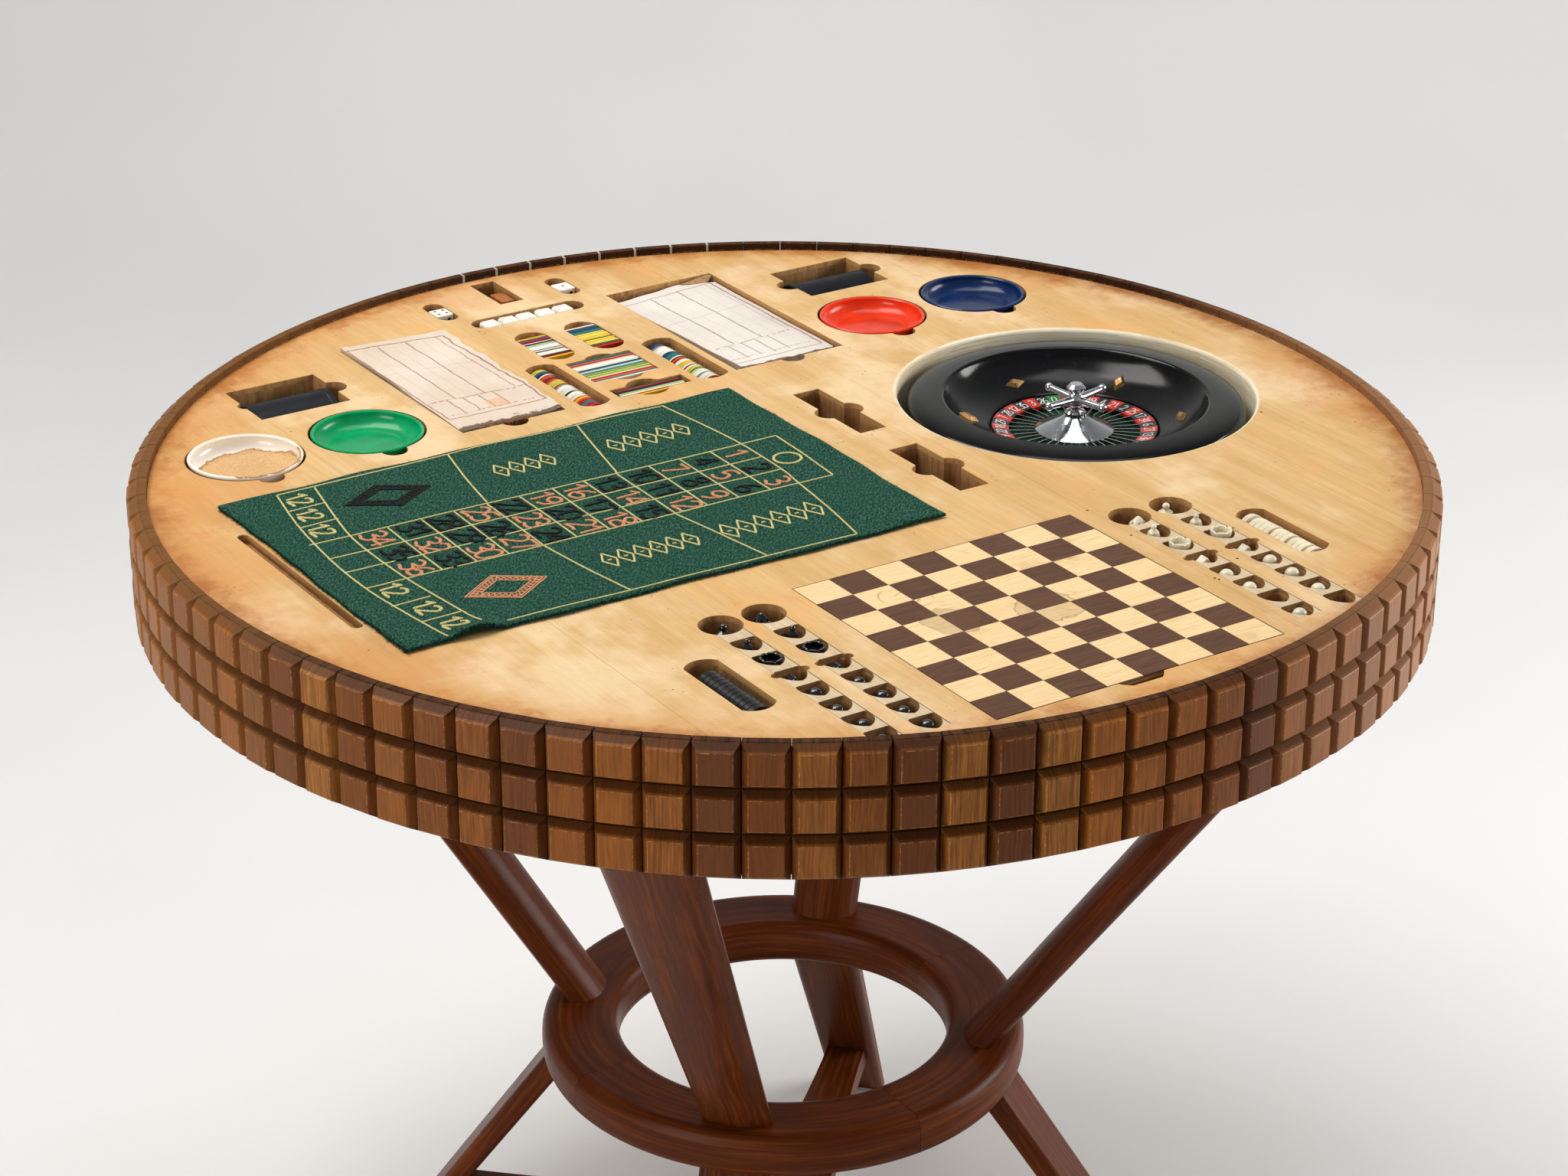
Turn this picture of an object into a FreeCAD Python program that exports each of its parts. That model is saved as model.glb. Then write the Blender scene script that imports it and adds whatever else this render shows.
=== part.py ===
import FreeCAD, Part
import math
import os

os.makedirs("parts", exist_ok=True)
V = FreeCAD.Vector

# ---------------------------------------------------------------- dimensions
# millimetres; Z up; origin on the floor under the centre of the table top.
# +X runs from the layout cloth towards the roulette well, -Y towards the chess side.
Z_RIM = 760.0          # upper edge of the staved rim
RIM_DROP = 6.0         # the rim stands this much above the playing surface
Z_TOP = Z_RIM - RIM_DROP
RIM_H = 99.0           # height of the rim
Z_UNDER = Z_RIM - RIM_H
R_RIM = 480.0          # outer radius of the stave slabs, without their bosses
STAVE_T = 6.0
STAVES = 94
BOSS_OUT = 8.5
R_PANEL = R_RIM - STAVE_T - 0.1
SHEET_T = 4.5          # facing sheet of the top
CORE_T = 43.5
Z_SHEET = Z_TOP - SHEET_T
Z_CORE = Z_SHEET - CORE_T
HOOP_T = 9.5
POCKET_EASE = 0.4               # chamfer on the pocket edges
WELL_LIP = 3.2                  # rounding of the roulette well's edge
R_BOTTOM = R_PANEL - HOOP_T - 0.1
BOTTOM_T = 8.0

RING_MID = 258.0       # leg ring
RING_T = 36.0
RING_OUT = 194.0
RING_IN = 132.0
R_LEG_RING = 163.0
R_LEG_TOP = 439.0
R_FOOT = 337.0
LEG_ANGLES = (45.0, 135.0, 225.0, 315.0)

SQUARE = 30.0          # chessboard square
BOARD_X0, BOARD_Y1 = -122.9, -198.8
WELL_X, WELL_Y, WELL_R = 268.6, -6.7, 141.0     # roulette well
BOWL_R = 133.4
POCKETS = 37
ZERO_ANGLE = 69.0
DISH_R = 43.5
CHECKER_R = 11.9


# ------------------------------------------------------------------- helpers
def box(x0, y0, z0, x1, y1, z1):
    return Part.makeBox(x1 - x0, y1 - y0, z1 - z0, V(x0, y0, z0))


def cyl(x, y, z0, z1, r):
    return Part.makeCylinder(r, z1 - z0, V(x, y, z0))


def rod(p, q, r):
    d = q.sub(p)
    return Part.makeCylinder(r, d.Length, p, d)


def disc_y(x, y0, z, r, t, c=0.0):
    """A disc standing on edge, its axis along +Y, from y0 to y0+t."""
    s = Part.makeCylinder(r, t, V(x, y0, z), V(0, 1, 0))
    if c > 0:
        s = s.makeChamfer(c, [e for e in s.Edges if e.Curve.TypeId == "Part::GeomCircle"])
    return s


def slot(x0, y0, x1, y1, z0, z1):
    """A stadium: straight sides along the longer way, half-round ends."""
    w, h = x1 - x0, y1 - y0
    if w >= h:
        r, cy = h / 2, (y0 + y1) / 2
        ends = [cyl(x0 + r, cy, z0, z1, r), cyl(x1 - r, cy, z0, z1, r)]
        mid = box(x0 + r, y0, z0, x1 - r, y1, z1)
    else:
        r, cx = w / 2, (x0 + x1) / 2
        ends = [cyl(cx, y0 + r, z0, z1, r), cyl(cx, y1 - r, z0, z1, r)]
        mid = box(x0, y0 + r, z0, x1, y1 - r, z1)
    return mid.fuse(ends).removeSplitter()


def spin(points, x, y, close=True):
    """Solid of revolution about the vertical line x, y from (radius, z) points."""
    pts = [V(x + r, y, z) for r, z in points]
    if close:
        pts.append(pts[0])
    return Part.Face(Part.makePolygon(pts)).revolve(V(x, y, 0), V(0, 0, 1), 360)


def spin_edges(edges, x, y):
    w = Part.Wire(edges)
    s = Part.Face(w).revolve(V(0, 0, 0), V(0, 0, 1), 360)
    s.translate(V(x, y, 0))
    return s


def seg(a, b):
    return Part.makeLine(V(a[0], 0, a[1]), V(b[0], 0, b[1]))


def curve(pts):
    c = Part.BSplineCurve()
    c.interpolate([V(r, 0, z) for r, z in pts])
    return c.toShape()


def plate(pts, z0, z1):
    p = [V(x, y, z0) for x, y in pts]
    return Part.Face(Part.makePolygon(p + [p[0]])).extrude(V(0, 0, z1 - z0))


def soften(shape, r, pick=lambda e: True):
    edges = [e for e in shape.Edges if pick(e)]
    try:
        s = shape.makeFillet(r, edges)
        if s.isValid() and s.Volume > 0.5 * shape.Volume:
            return s
    except Exception:
        pass
    return shape


def vertical(e):
    a, b = e.Vertexes[0].Point, e.Vertexes[-1].Point
    return abs(a.x - b.x) < 1e-6 and abs(a.y - b.y) < 1e-6 and abs(a.z - b.z) > 1e-3


def solids(shapes):
    out = []
    for s in shapes:
        out += s.Solids
    return Part.makeCompound(out)


def save(name, shapes):
    c = solids(shapes if isinstance(shapes, list) else [shapes])
    bad = [i for i, s in enumerate(c.Solids) if not s.isValid() or s.Volume <= 0]
    b = c.BoundBox
    print("%-18s solids %3d  volume %10.0f  bad %s  z %.1f..%.1f" % (
        name, len(c.Solids), c.Volume, bad, b.ZMin, b.ZMax))
    c.exportStep("parts/%s.step" % name)


# ----------------------------------------------------------- pockets in the top
UP = Z_TOP + 5
cuts = []          # every pocket, cut from the facing sheet and from the core
strip_cuts = []    # compartments that also pass through the inlaid strips

# Chessboard recess with its finger scoop on the near side.
bx0, by1 = BOARD_X0, BOARD_Y1
bx1, by0 = bx0 + 8 * SQUARE, by1 - 8 * SQUARE
Z_BOARD = Z_TOP - 9.0
cuts.append(box(bx0 - 0.7, by0 - 0.9, Z_BOARD, bx1 + 0.7, by1 + 0.7, UP))
scoop = cyl(-5.6, -429.0, Z_TOP - 14, UP, 22.0)
scoop = scoop.common(box(bx0, by0 - 8.6, Z_TOP - 14, bx1, by0 + 12, UP))
cuts.append(scoop)

# Chessmen: two columns a side, a round hole for the tall pieces and seven
# compartments with a straight far edge and a rounded near edge.
COLS_B = (-196.5, -161.5)
COLS_W = (152.5, 190.1)
ROWS_B = [-258.2, -285.7, -313.2, -339.5, -366.3, -392.4, -418.4]
ROWS_W = [-258.2, -284.7, -311.3, -337.3, -363.4, -389.5, -415.5]
Y_HOLE_B, Y_HOLE_W = -221.5, -224.4
HOLE_R = 15.8
CELL_W, CELL_L = 20.0, 20.6
FLOOR_B, FLOOR_W = Z_TOP - 29.0, Z_TOP - 27.5
HOLE_DEPTH = 35.5        # the round holes of the kings and queens go deeper


def cell(cx, cy, floor):
    """One chessman's compartment, seen from above a blunt shield."""
    w, l = CELL_W / 2, CELL_L / 2
    top, z = cy + l, floor
    a = Part.makeLine(V(cx - w, top, z), V(cx + w, top, z))
    b = Part.Arc(V(cx + w, top, z), V(cx + 0.76 * w, cy - 0.42 * l, z), V(cx, cy - l, z)).toShape()
    c = Part.Arc(V(cx, cy - l, z), V(cx - 0.76 * w, cy - 0.42 * l, z), V(cx - w, top, z)).toShape()
    s = Part.Face(Part.Wire([a, b, c])).extrude(V(0, 0, UP - floor))
    return soften(s, 2.0, vertical)


for cols, rows, yh, floor in ((COLS_B, ROWS_B, Y_HOLE_B, FLOOR_B), (COLS_W, ROWS_W, Y_HOLE_W, FLOOR_W)):
    for cx in cols:
        strip_cuts.append(cyl(cx, yh, Z_TOP - HOLE_DEPTH, UP, HOLE_R))
        for i, cy in enumerate(rows):
            c = cell(cx, cy, floor)
            if i == 2:      # the knights' compartments have a finger slot each side
                c = c.fuse(slot(cx - 15.0, cy + 1.5, cx + 15.0, cy + 8.5, Z_TOP - 16, UP)).removeSplitter()
            strip_cuts.append(c)

# Draughts, pencil, dice and card pockets.
def bowed(x0, y0, x1, y1, z0, z1, sag):
    """An oblong pocket whose two short ends are shallow arcs."""
    xm = (x0 + x1) / 2
    a = Part.makeLine(V(x1, y0 + sag, z0), V(x1, y1 - sag, z0))
    b = Part.Arc(V(x1, y1 - sag, z0), V(xm, y1, z0), V(x0, y1 - sag, z0)).toShape()
    c = Part.makeLine(V(x0, y1 - sag, z0), V(x0, y0 + sag, z0))
    d = Part.Arc(V(x0, y0 + sag, z0), V(xm, y0, z0), V(x1, y0 + sag, z0)).toShape()
    return Part.Face(Part.Wire([a, b, c, d])).extrude(V(0, 0, z1 - z0))


cuts.append(bowed(-254.2, -346.0, -227.1, -259.6, Z_TOP - 24.6, UP, 7.2))
cuts.append(bowed(216.9, -346.0, 243.0, -259.6, Z_TOP - 24.6, UP, 7.2))
cuts.append(slot(-409.1, -92.6, -400.4, 92.8, Z_TOP - 7, UP))
PAD_L = (-177.9, 177.7, -87.2, 383.8)
PAD_R = (69.7, 177.7, 172.0, 382.9)
cuts.append(box(PAD_L[0], PAD_L[1], Z_TOP - 13, PAD_L[2], PAD_L[3], UP))
cuts.append(cyl(-132.1, 179.2, Z_TOP - 13, UP, 11.0))
cuts.append(box(PAD_R[0], PAD_R[1], Z_TOP - 15, PAD_R[2], PAD_R[3], UP))
cuts.append(cyl(122.8, 179.2, Z_TOP - 15, UP, 11.0))

CUP_L = (-295.2, 284.9, -218.9, 351.0)
CUP_R = (214.5, 288.3, 292.7, 353.4)
WELL_A = (77.9, 13.6, 102.1, 108.7)
WELL_B = (77.0, -119.1, 103.0, -25.5)
CUP_FLOOR, CARD_FLOOR = Z_TOP - 56.0, Z_TOP - 66.0
deep = []          # pockets that go right through the core into their own boxes
for q, floor, wall in ((CUP_L, CUP_FLOOR, 6.0), (CUP_R, CUP_FLOOR, 6.0), (WELL_A, CARD_FLOOR, 6.0), (WELL_B, CARD_FLOOR, 6.0)):
    cuts.append(box(q[0], q[1], Z_CORE - 5, q[2], q[3], UP))
    deep.append((q, floor, wall))
for q, rl, off in ((CUP_L, 7.0, 2.5), (CUP_R, 11.0, -0.8)):
    cy = (q[1] + q[3]) / 2
    cuts.append(cyl(q[0] + off, cy, Z_TOP - 30, UP, rl))
    cuts.append(cyl(q[2] + 0.8, cy, Z_TOP - 30, UP, 11.0))
for q in (WELL_A, WELL_B):
    cy = (q[1] + q[3]) / 2
    cuts.append(cyl(q[0] + 3.0, cy, Z_TOP - 28, UP, 11.5))
    cuts.append(cyl(q[2] - 3.0, cy, Z_TOP - 28, UP, 11.5))

# Counter dishes: a round pocket and a finger notch each.
DISHES = {"white": (-339.6, 222.1), "green": (-238.2, 219.7),
          "red": (231.4, 223.1), "blue": (332.3, 221.2)}
Z_DISH = Z_TOP - 15.0
for x, y in DISHES.values():
    cuts.append(cyl(x, y, Z_DISH, UP, DISH_R + 2.0))
    cuts.append(cyl(x, y - DISH_R - 1.0, Z_TOP - 12, UP, 10.5))

# Chips and plaques.
ST_L = (-46.6, 282.5, -18.6, 331.7)
ST_R = (-0.8, 282.5, 28.2, 331.7)
for q in (ST_L, ST_R):
    cx = (q[0] + q[2]) / 2
    cuts.append(box(q[0], q[1], Z_TOP - 24, q[2], q[3], UP))
    cuts.append(cyl(cx, q[1] + 5.0, Z_TOP - 14, UP, 14.3))
    cuts.append(cyl(cx, q[3] - 4.5, Z_TOP - 14, UP, 14.3))
ROW_INSET = 3.4
ROW_L = (-74.1, 167.6, -47.6, 275.2)
ROW_R = (34.5, 169.0, 62.5, 276.2)
for q in (ROW_L, ROW_R):
    cuts.append(bowed(q[0], q[1] + ROW_INSET, q[2], q[3] - ROW_INSET, Z_TOP - 25.2, UP, 6.0))
PLQ_A = (-39.4, 213.9, 20.0, 262.2)
PLQ_B = (-38.9, 176.3, 27.2, 194.1)
cuts.append(box(PLQ_A[0], PLQ_A[1], Z_TOP - 21, PLQ_A[2], PLQ_A[3], UP))
cuts.append(cyl(-9.0, PLQ_A[3] - 11.0, Z_TOP - 12, UP, 17.0))
cuts.append(cyl(-9.0, PLQ_A[1] + 9.5, Z_TOP - 12, UP, 17.0))
cuts.append(box(PLQ_B[0], PLQ_B[1], Z_TOP - 21, PLQ_B[2], PLQ_B[3], UP))
cuts.append(cyl(-9.0, 185.2, Z_TOP - 12, UP, 17.5))

# Dice and the small block.
DICE_SLOT = (-59.6, 367.2, 44.1, 388.9)
cuts.append(slot(*DICE_SLOT, Z_TOP - 15.5, UP))
DIE_L, DIE_R = (-66.6, 421.5), (50.4, 422.4)
for x, y in (DIE_L, DIE_R):
    cuts.append(slot(x - 8.7, y - 21.5, x + 8.7, y + 21.5, Z_TOP - 15.5, UP))
BLOCK = (-15.2, 410.9, 7.0, 464.9)
cuts.append(box(BLOCK[0], BLOCK[1], Z_TOP - 36, BLOCK[2], BLOCK[3], UP))

# Old nail holes.
for x, y in ((135.8, -342.6), (136.8, -346.0), (170.6, -324.8), (132.5, -251.9),
             (133.4, -198.8), (204.9, -229.2), (202.5, -281.3), (364.2, -118.2)):
    cuts.append(cyl(x, y, Z_TOP - 2.5, UP, 1.1))

cuts.append(cyl(WELL_X, WELL_Y, Z_CORE - 5, UP, WELL_R))

# ------------------------------------------------------------ top and its strips
STRIP_T = 3.0
strips = []
strip_beds = []
for cols, rows in ((COLS_B, ROWS_B), (COLS_W, ROWS_W)):
    for cx in cols:
        y_near = rows[-1] - 9.1
        s = box(cx - 10.9, y_near, Z_TOP - STRIP_T, cx + 10.9, rows[0] + 30.0, Z_TOP)
        s = s.common(cyl(0, 0, 0, 900, R_PANEL - 2.0))
        strip_beds.append(s)
        strips.append(s.cut(strip_cuts))

clip = cyl(0, 0, Z_CORE - 10, UP + 5, R_PANEL - 1.6)
all_cuts = cuts + [c.common(clip) for c in strip_cuts]
sheet = cyl(0, 0, Z_SHEET, Z_TOP, R_PANEL)
sheet = sheet.cut(all_cuts + strip_beds)
core = cyl(0, 0, Z_CORE, Z_SHEET, R_PANEL)
core = core.cut(all_cuts)


# The arrises of the pockets are eased, except round the dishes and the inlaid strips.
def eased(shape, amount):
    body = shape.removeSplitter().Solids[0]
    flat = [f for f in body.Faces if abs(f.BoundBox.ZMin - Z_TOP) < 1e-3 and abs(f.BoundBox.ZMax - Z_TOP) < 1e-3]
    edges = []
    for w in max(flat, key=lambda f: f.Area).Wires:
        lx, ly = w.BoundBox.XLength, w.BoundBox.YLength
        nail, rim = lx < 5, lx > 900
        strip = ly > 200 and lx < 35
        well = 270 < lx < 290 and 270 < ly < 290
        dish = 88 < lx < 94 and 98 < ly < 103
        if nail or rim or strip or dish or well:
            continue
        try:
            if body.makeChamfer(amount, w.Edges).isValid():
                edges += w.Edges
        except Part.OCCError:
            continue
    out = body.makeChamfer(amount, edges)
    out = out if out.isValid() else body
    lip = [e for e in out.Edges if abs(e.BoundBox.ZMin - Z_TOP) < 1e-3 and abs(e.BoundBox.ZMax - Z_TOP) < 1e-3
           and 270 < e.BoundBox.XLength < 290 and 270 < e.BoundBox.YLength < 290]
    round_lip = out.makeFillet(WELL_LIP, lip)
    return round_lip if round_lip.isValid() else out


sheet = eased(sheet, POCKET_EASE)
save("top_sheet", sheet)
save("top_core", core)
save("chess_strips", strips)

# ------------------------------------------------------------------ rim and drum
hoop = cyl(0, 0, Z_UNDER, Z_CORE, R_PANEL).cut(cyl(0, 0, Z_UNDER - 1, Z_CORE + 1, R_PANEL - HOOP_T))
save("rim_hoop", hoop)


def frustum(levels):
    """Stacked rectangles: (distance out, half width, half height), about x=0."""
    wires = []
    for d, hw, hh in levels:
        p = [V(d, -hw, -hh), V(d, hw, -hh), V(d, hw, hh), V(d, -hw, hh)]
        wires.append(Part.makePolygon(p + [p[0]]))
    return Part.makeLoft(wires, True, True)


def stave(extra_out):
    """One stave: a flat slat with three square pyramidal bosses one above another."""
    r0 = R_RIM - STAVE_T
    hw = R_RIM * math.tan(math.pi / STAVES) - 0.22
    hi = r0 * math.tan(math.pi / STAVES) - 0.22
    pts = [V(r0, -hi, Z_UNDER), V(R_RIM, -hw, Z_UNDER), V(R_RIM, hw, Z_UNDER), V(r0, hi, Z_UNDER)]
    slab = Part.Face(Part.makePolygon(pts + [pts[0]])).extrude(V(0, 0, RIM_H))
    parts = []
    pitch = RIM_H / 3
    for k in range(3):
        b = frustum([(0, hw, pitch / 2 - 0.35), (0.9, hw, pitch / 2 - 0.35),
                     (BOSS_OUT - 0.5 + extra_out, 11.8, 11.6), (BOSS_OUT + extra_out, 11.1, 10.9)])
        b.translate(V(R_RIM, 0, Z_UNDER + pitch * (k + 0.5)))
        parts.append(b)
    return slab.fuse(parts).removeSplitter()


patterns = [stave(e) for e in (-0.35, 0.0, 0.3)]
rim = []
for i in range(STAVES):
    s = patterns[(i * 7 + i // 3) % 3].copy()
    s.rotate(V(0, 0, 0), V(0, 0, 1), 180.0 + (i + 0.5) * 360.0 / STAVES)
    rim.append(s)
save("rim_staves", rim)

bottom = cyl(0, 0, Z_UNDER, Z_UNDER + BOTTOM_T, R_BOTTOM)

boxes = []
for q, floor, wall in deep:
    o = box(q[0] - wall, q[1] - wall, floor - 6, q[2] + wall, q[3] + wall, Z_CORE)
    o = o.common(cyl(0, 0, 0, 900, R_PANEL - HOOP_T - 0.2))
    boxes.append(o.cut(box(q[0], q[1], floor, q[2], q[3], Z_CORE + 1)))
save("well_boxes", boxes)

# Roulette well: a drum under the core and the floor the bowl stands on.
Z_BOWL = Z_TOP - 58.0
drum = spin([(WELL_R, Z_UNDER + BOTTOM_T), (WELL_R + 7, Z_UNDER + BOTTOM_T), (WELL_R + 7, Z_CORE), (WELL_R, Z_CORE)], WELL_X, WELL_Y)
floor_disc = spin([(0, Z_BOWL - 12), (118, Z_BOWL - 12), (118, Z_UNDER + BOTTOM_T), (WELL_R - 0.1, Z_UNDER + BOTTOM_T),
                   (WELL_R - 0.1, Z_BOWL), (0, Z_BOWL)], WELL_X, WELL_Y)
save("wheel_well", [drum, floor_disc])

# --------------------------------------------------------------------- the base
def at(r, z, ang):
    a = math.radians(ang)
    return V(r * math.cos(a), r * math.sin(a), z)


def domed(w, t):
    """Upper leg section: domed inner face, arris at the widest line, shallowly rounded outer face."""
    n0 = -0.20 * t
    pts = [(w / 2, n0), (0.455 * w, n0 + 0.40 * (t / 2 - n0)), (0.30 * w, n0 + 0.82 * (t / 2 - n0)), (0, t / 2),
           (-0.30 * w, n0 + 0.82 * (t / 2 - n0)), (-0.455 * w, n0 + 0.40 * (t / 2 - n0)), (-w / 2, n0)]
    dome = Part.BSplineCurve()
    dome.interpolate([V(a, b, 0) for a, b in pts])
    low = [(-w / 2, n0), (-0.42 * w, -0.36 * t), (-0.25 * w, -0.46 * t), (0, -0.5 * t),
           (0.25 * w, -0.46 * t), (0.42 * w, -0.36 * t), (w / 2, n0)]
    face = Part.BSplineCurve()
    face.interpolate([V(a, b, 0) for a, b in low])
    return Part.Wire([dome.toShape(), face.toShape()])


def squared(w, t):
    """Lower leg section: an oblong with rounded arrises."""
    r = 0.34 * t
    a, b = w / 2, t / 2
    k = r * (1 - math.sqrt(0.5))
    e = []
    cor = [(a, b), (-a, b), (-a, -b), (a, -b)]
    e.append(Part.makeLine(V(a - r, b, 0), V(-a + r, b, 0)))
    e.append(Part.Arc(V(-a + r, b, 0), V(-a + k, b - k, 0), V(-a, b - r, 0)).toShape())
    e.append(Part.makeLine(V(-a, b - r, 0), V(-a, -b + r, 0)))
    e.append(Part.Arc(V(-a, -b + r, 0), V(-a + k, -b + k, 0), V(-a + r, -b, 0)).toShape())
    e.append(Part.makeLine(V(-a + r, -b, 0), V(a - r, -b, 0)))
    e.append(Part.Arc(V(a - r, -b, 0), V(a - k, -b + k, 0), V(a, -b + r, 0)).toShape())
    e.append(Part.makeLine(V(a, -b + r, 0), V(a, b - r, 0)))
    e.append(Part.Arc(V(a, b - r, 0), V(a - k, b - k, 0), V(a - r, b, 0)).toShape())
    return Part.Wire(e)


def leg(p, q, section, s0, s1, ang):
    """Loft a section along p-q; section x is tangential, section y points inwards."""
    d = q.sub(p).normalize()
    tang = V(-math.sin(math.radians(ang)), math.cos(math.radians(ang)), 0)
    inward = d.cross(tang).normalize()
    if inward.dot(V(-math.cos(math.radians(ang)), -math.sin(math.radians(ang)), 0)) < 0:
        inward = inward * -1
        tang = tang * -1
    wires = []
    for o, s in ((p, s0), (q, s1)):
        w = section(*s)
        m = FreeCAD.Matrix(tang.x, inward.x, d.x, o.x, tang.y, inward.y, d.y, o.y, tang.z, inward.z, d.z, o.z, 0, 0, 0, 1)
        w = w.transformGeometry(m)
        wires.append(w)
    return Part.makeLoft(wires, True, True)


Z_RT, Z_RB = RING_MID + RING_T / 2, RING_MID - RING_T / 2
upper, lower, tenon_cuts, low_cuts = [], [], [], []
R_LOW_TOP = 168.0
for a in LEG_ANGLES:
    p, q = at(R_LEG_RING, Z_RT, a), at(R_LEG_TOP, Z_UNDER, a)
    d = q.sub(p).normalize()
    raw = leg(p.sub(d * 45), q.add(d * 45), domed, (53, 24), (76, 31), a)
    body = raw.common(box(-600, -600, Z_RT, 600, 600, Z_UNDER))
    t0 = rod(p.sub(d * 20), p.add(d * 12), 9.0)
    t1 = rod(q.sub(d * 12), q.add(d * 20), 7.0)
    upper.append(body.fuse([t0, t1]).removeSplitter())
    tenon_cuts.append(rod(p.sub(d * 20.2), p.add(d * 30), 9.05))
    tenon_cuts.append(rod(q.sub(d * 30), q.add(d * 20.2), 7.05))
    p2, q2 = at(R_LOW_TOP, Z_RB, a), at(R_FOOT, 0, a)
    d2 = q2.sub(p2).normalize()
    raw = leg(p2.sub(d2 * 40), q2.add(d2 * 40), squared, (58, 21), (46, 14.5), a)
    body = raw.common(box(-600, -600, 0, 600, 600, Z_RB - 0.05))
    t2 = rod(p2.sub(d2 * 17), p2.add(d2 * 12), 7.5)
    lower.append(body.fuse(t2).removeSplitter())
    low_cuts.append(rod(p2.sub(d2 * 17.2), p2.add(d2 * 30), 7.55))

save("upper_legs", upper)
bottom = bottom.cut([c for i, c in enumerate(tenon_cuts) if i % 2])
save("bottom_board", bottom)

blocks = []
for i, a in enumerate(LEG_ANGLES):
    b = box(404, -46, Z_UNDER + BOTTOM_T, 470, 46, Z_UNDER + BOTTOM_T + 13)
    b.rotate(V(0, 0, 0), V(0, 0, 1), a)
    b = b.common(cyl(0, 0, 0, 900, R_BOTTOM - 0.1)).cut(tenon_cuts[2 * i + 1])
    blocks.append(b)
save("leg_blocks", blocks)

# Leg ring: four quarter segments with loose tongues in the end joints.
BULL = 11.0
profile = [(RING_IN + 1.0, Z_RB + 8), (RING_IN, RING_MID), (RING_IN + 1.0, Z_RT - 8), (RING_IN + 4, Z_RT - 2.6), (RING_IN + BULL, Z_RT),
           (RING_OUT - BULL, Z_RT), (RING_OUT - 4, Z_RT - 2.6), (RING_OUT - 1.0, Z_RT - 8), (RING_OUT, RING_MID), (RING_OUT - 1.0, Z_RB + 8),
           (RING_OUT - 4, Z_RB + 2.6), (RING_OUT - BULL, Z_RB), (RING_IN + BULL, Z_RB), (RING_IN + 4, Z_RB + 2.6)]
inner = [profile[12], profile[13], profile[0], profile[1], profile[2], profile[3], profile[4]]
outer = profile[5:12]
ring_edges = [curve(inner), seg(profile[4], profile[5]), curve(outer), seg(profile[11], profile[12])]
quarter_face = Part.Face(Part.Wire(ring_edges))
splines, segments, ring_drills = [], [], []
plugs = []
for k in range(4):
    t = box(RING_IN + 18, -14, RING_MID - 4, RING_OUT - 18, 14, RING_MID + 4)
    t.rotate(V(0, 0, 0), V(0, 0, 1), 90.0 * k)
    splines.append(t)
for a in LEG_ANGLES:
    p = rod(at(RING_OUT - 14, RING_MID + 1, a), at(RING_OUT + 4, RING_MID + 1, a), 6.0)
    ring_drills.append(p)
full_ring = quarter_face.revolve(V(0, 0, 0), V(0, 0, 1), 360)
for p in ring_drills:
    plugs.append(p.common(full_ring))
for k in range(4):
    s = quarter_face.copy()
    s.rotate(V(0, 0, 0), V(0, 0, 1), 90.0 * k + 0.06)
    s = s.revolve(V(0, 0, 0), V(0, 0, 1), 89.88)
    s = s.cut(splines + ring_drills + [c for i, c in enumerate(tenon_cuts) if i % 2 == 0] + low_cuts)
    segments.append(s)
save("leg_ring", segments)
save("ring_splines", splines)
save("ring_plugs", plugs)

# Crossed stretcher between the lower legs, half-lapped at the middle.
ST_Z0, ST_Z1 = 54.0, 74.0
r_at = R_LOW_TOP + (R_FOOT - R_LOW_TOP) * (Z_RB - (ST_Z0 + ST_Z1) / 2) / Z_RB
stretch, pegs = [], []
for k, a in enumerate((45.0, 135.0)):
    L = r_at + 2
    top = [(L, 16.5), (0.6 * L, 20), (0.3 * L, 26), (0.12 * L, 29.5), (0, 30), (-0.12 * L, 29.5), (-0.3 * L, 26), (-0.6 * L, 20), (-L, 16.5)]
    c1 = Part.BSplineCurve()
    c1.interpolate([V(x, y, ST_Z0) for x, y in top])
    c2 = Part.BSplineCurve()
    c2.interpolate([V(-x, -y, ST_Z0) for x, y in top])
    w = Part.Wire([c1.toShape(), Part.makeLine(V(-L, 16.5, ST_Z0), V(-L, -16.5, ST_Z0)), c2.toShape(),
                   Part.makeLine(V(L, -16.5, ST_Z0), V(L, 16.5, ST_Z0))])
    s = Part.Face(w).extrude(V(0, 0, ST_Z1 - ST_Z0))
    s.rotate(V(0, 0, 0), V(0, 0, 1), a)
    s = s.cut(lower)
    s = max(s.Solids, key=lambda t: t.Volume)
    pg = []
    for sign in (1, -1):
        t = box(r_at - 40, -9, ST_Z0 + 5, r_at + 3, 9, ST_Z1 - 5)
        t.rotate(V(0, 0, 0), V(0, 0, 1), a + (0 if sign > 0 else 180))
        pg.append(t)
    pegs += pg
    s = s.fuse(pg).removeSplitter()
    zlo, zhi = ((ST_Z0 - 1, (ST_Z0 + ST_Z1) / 2) if k == 0 else ((ST_Z0 + ST_Z1) / 2, ST_Z1 + 1))
    other = box(-45, -30.1, zlo, 45, 30.1, zhi)
    other.rotate(V(0, 0, 0), V(0, 0, 1), a + 90)
    s = s.cut(other)
    stretch.append(s)
save("stretchers", stretch)
save("lower_legs", [l.cut(pegs) for l in lower])

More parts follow.
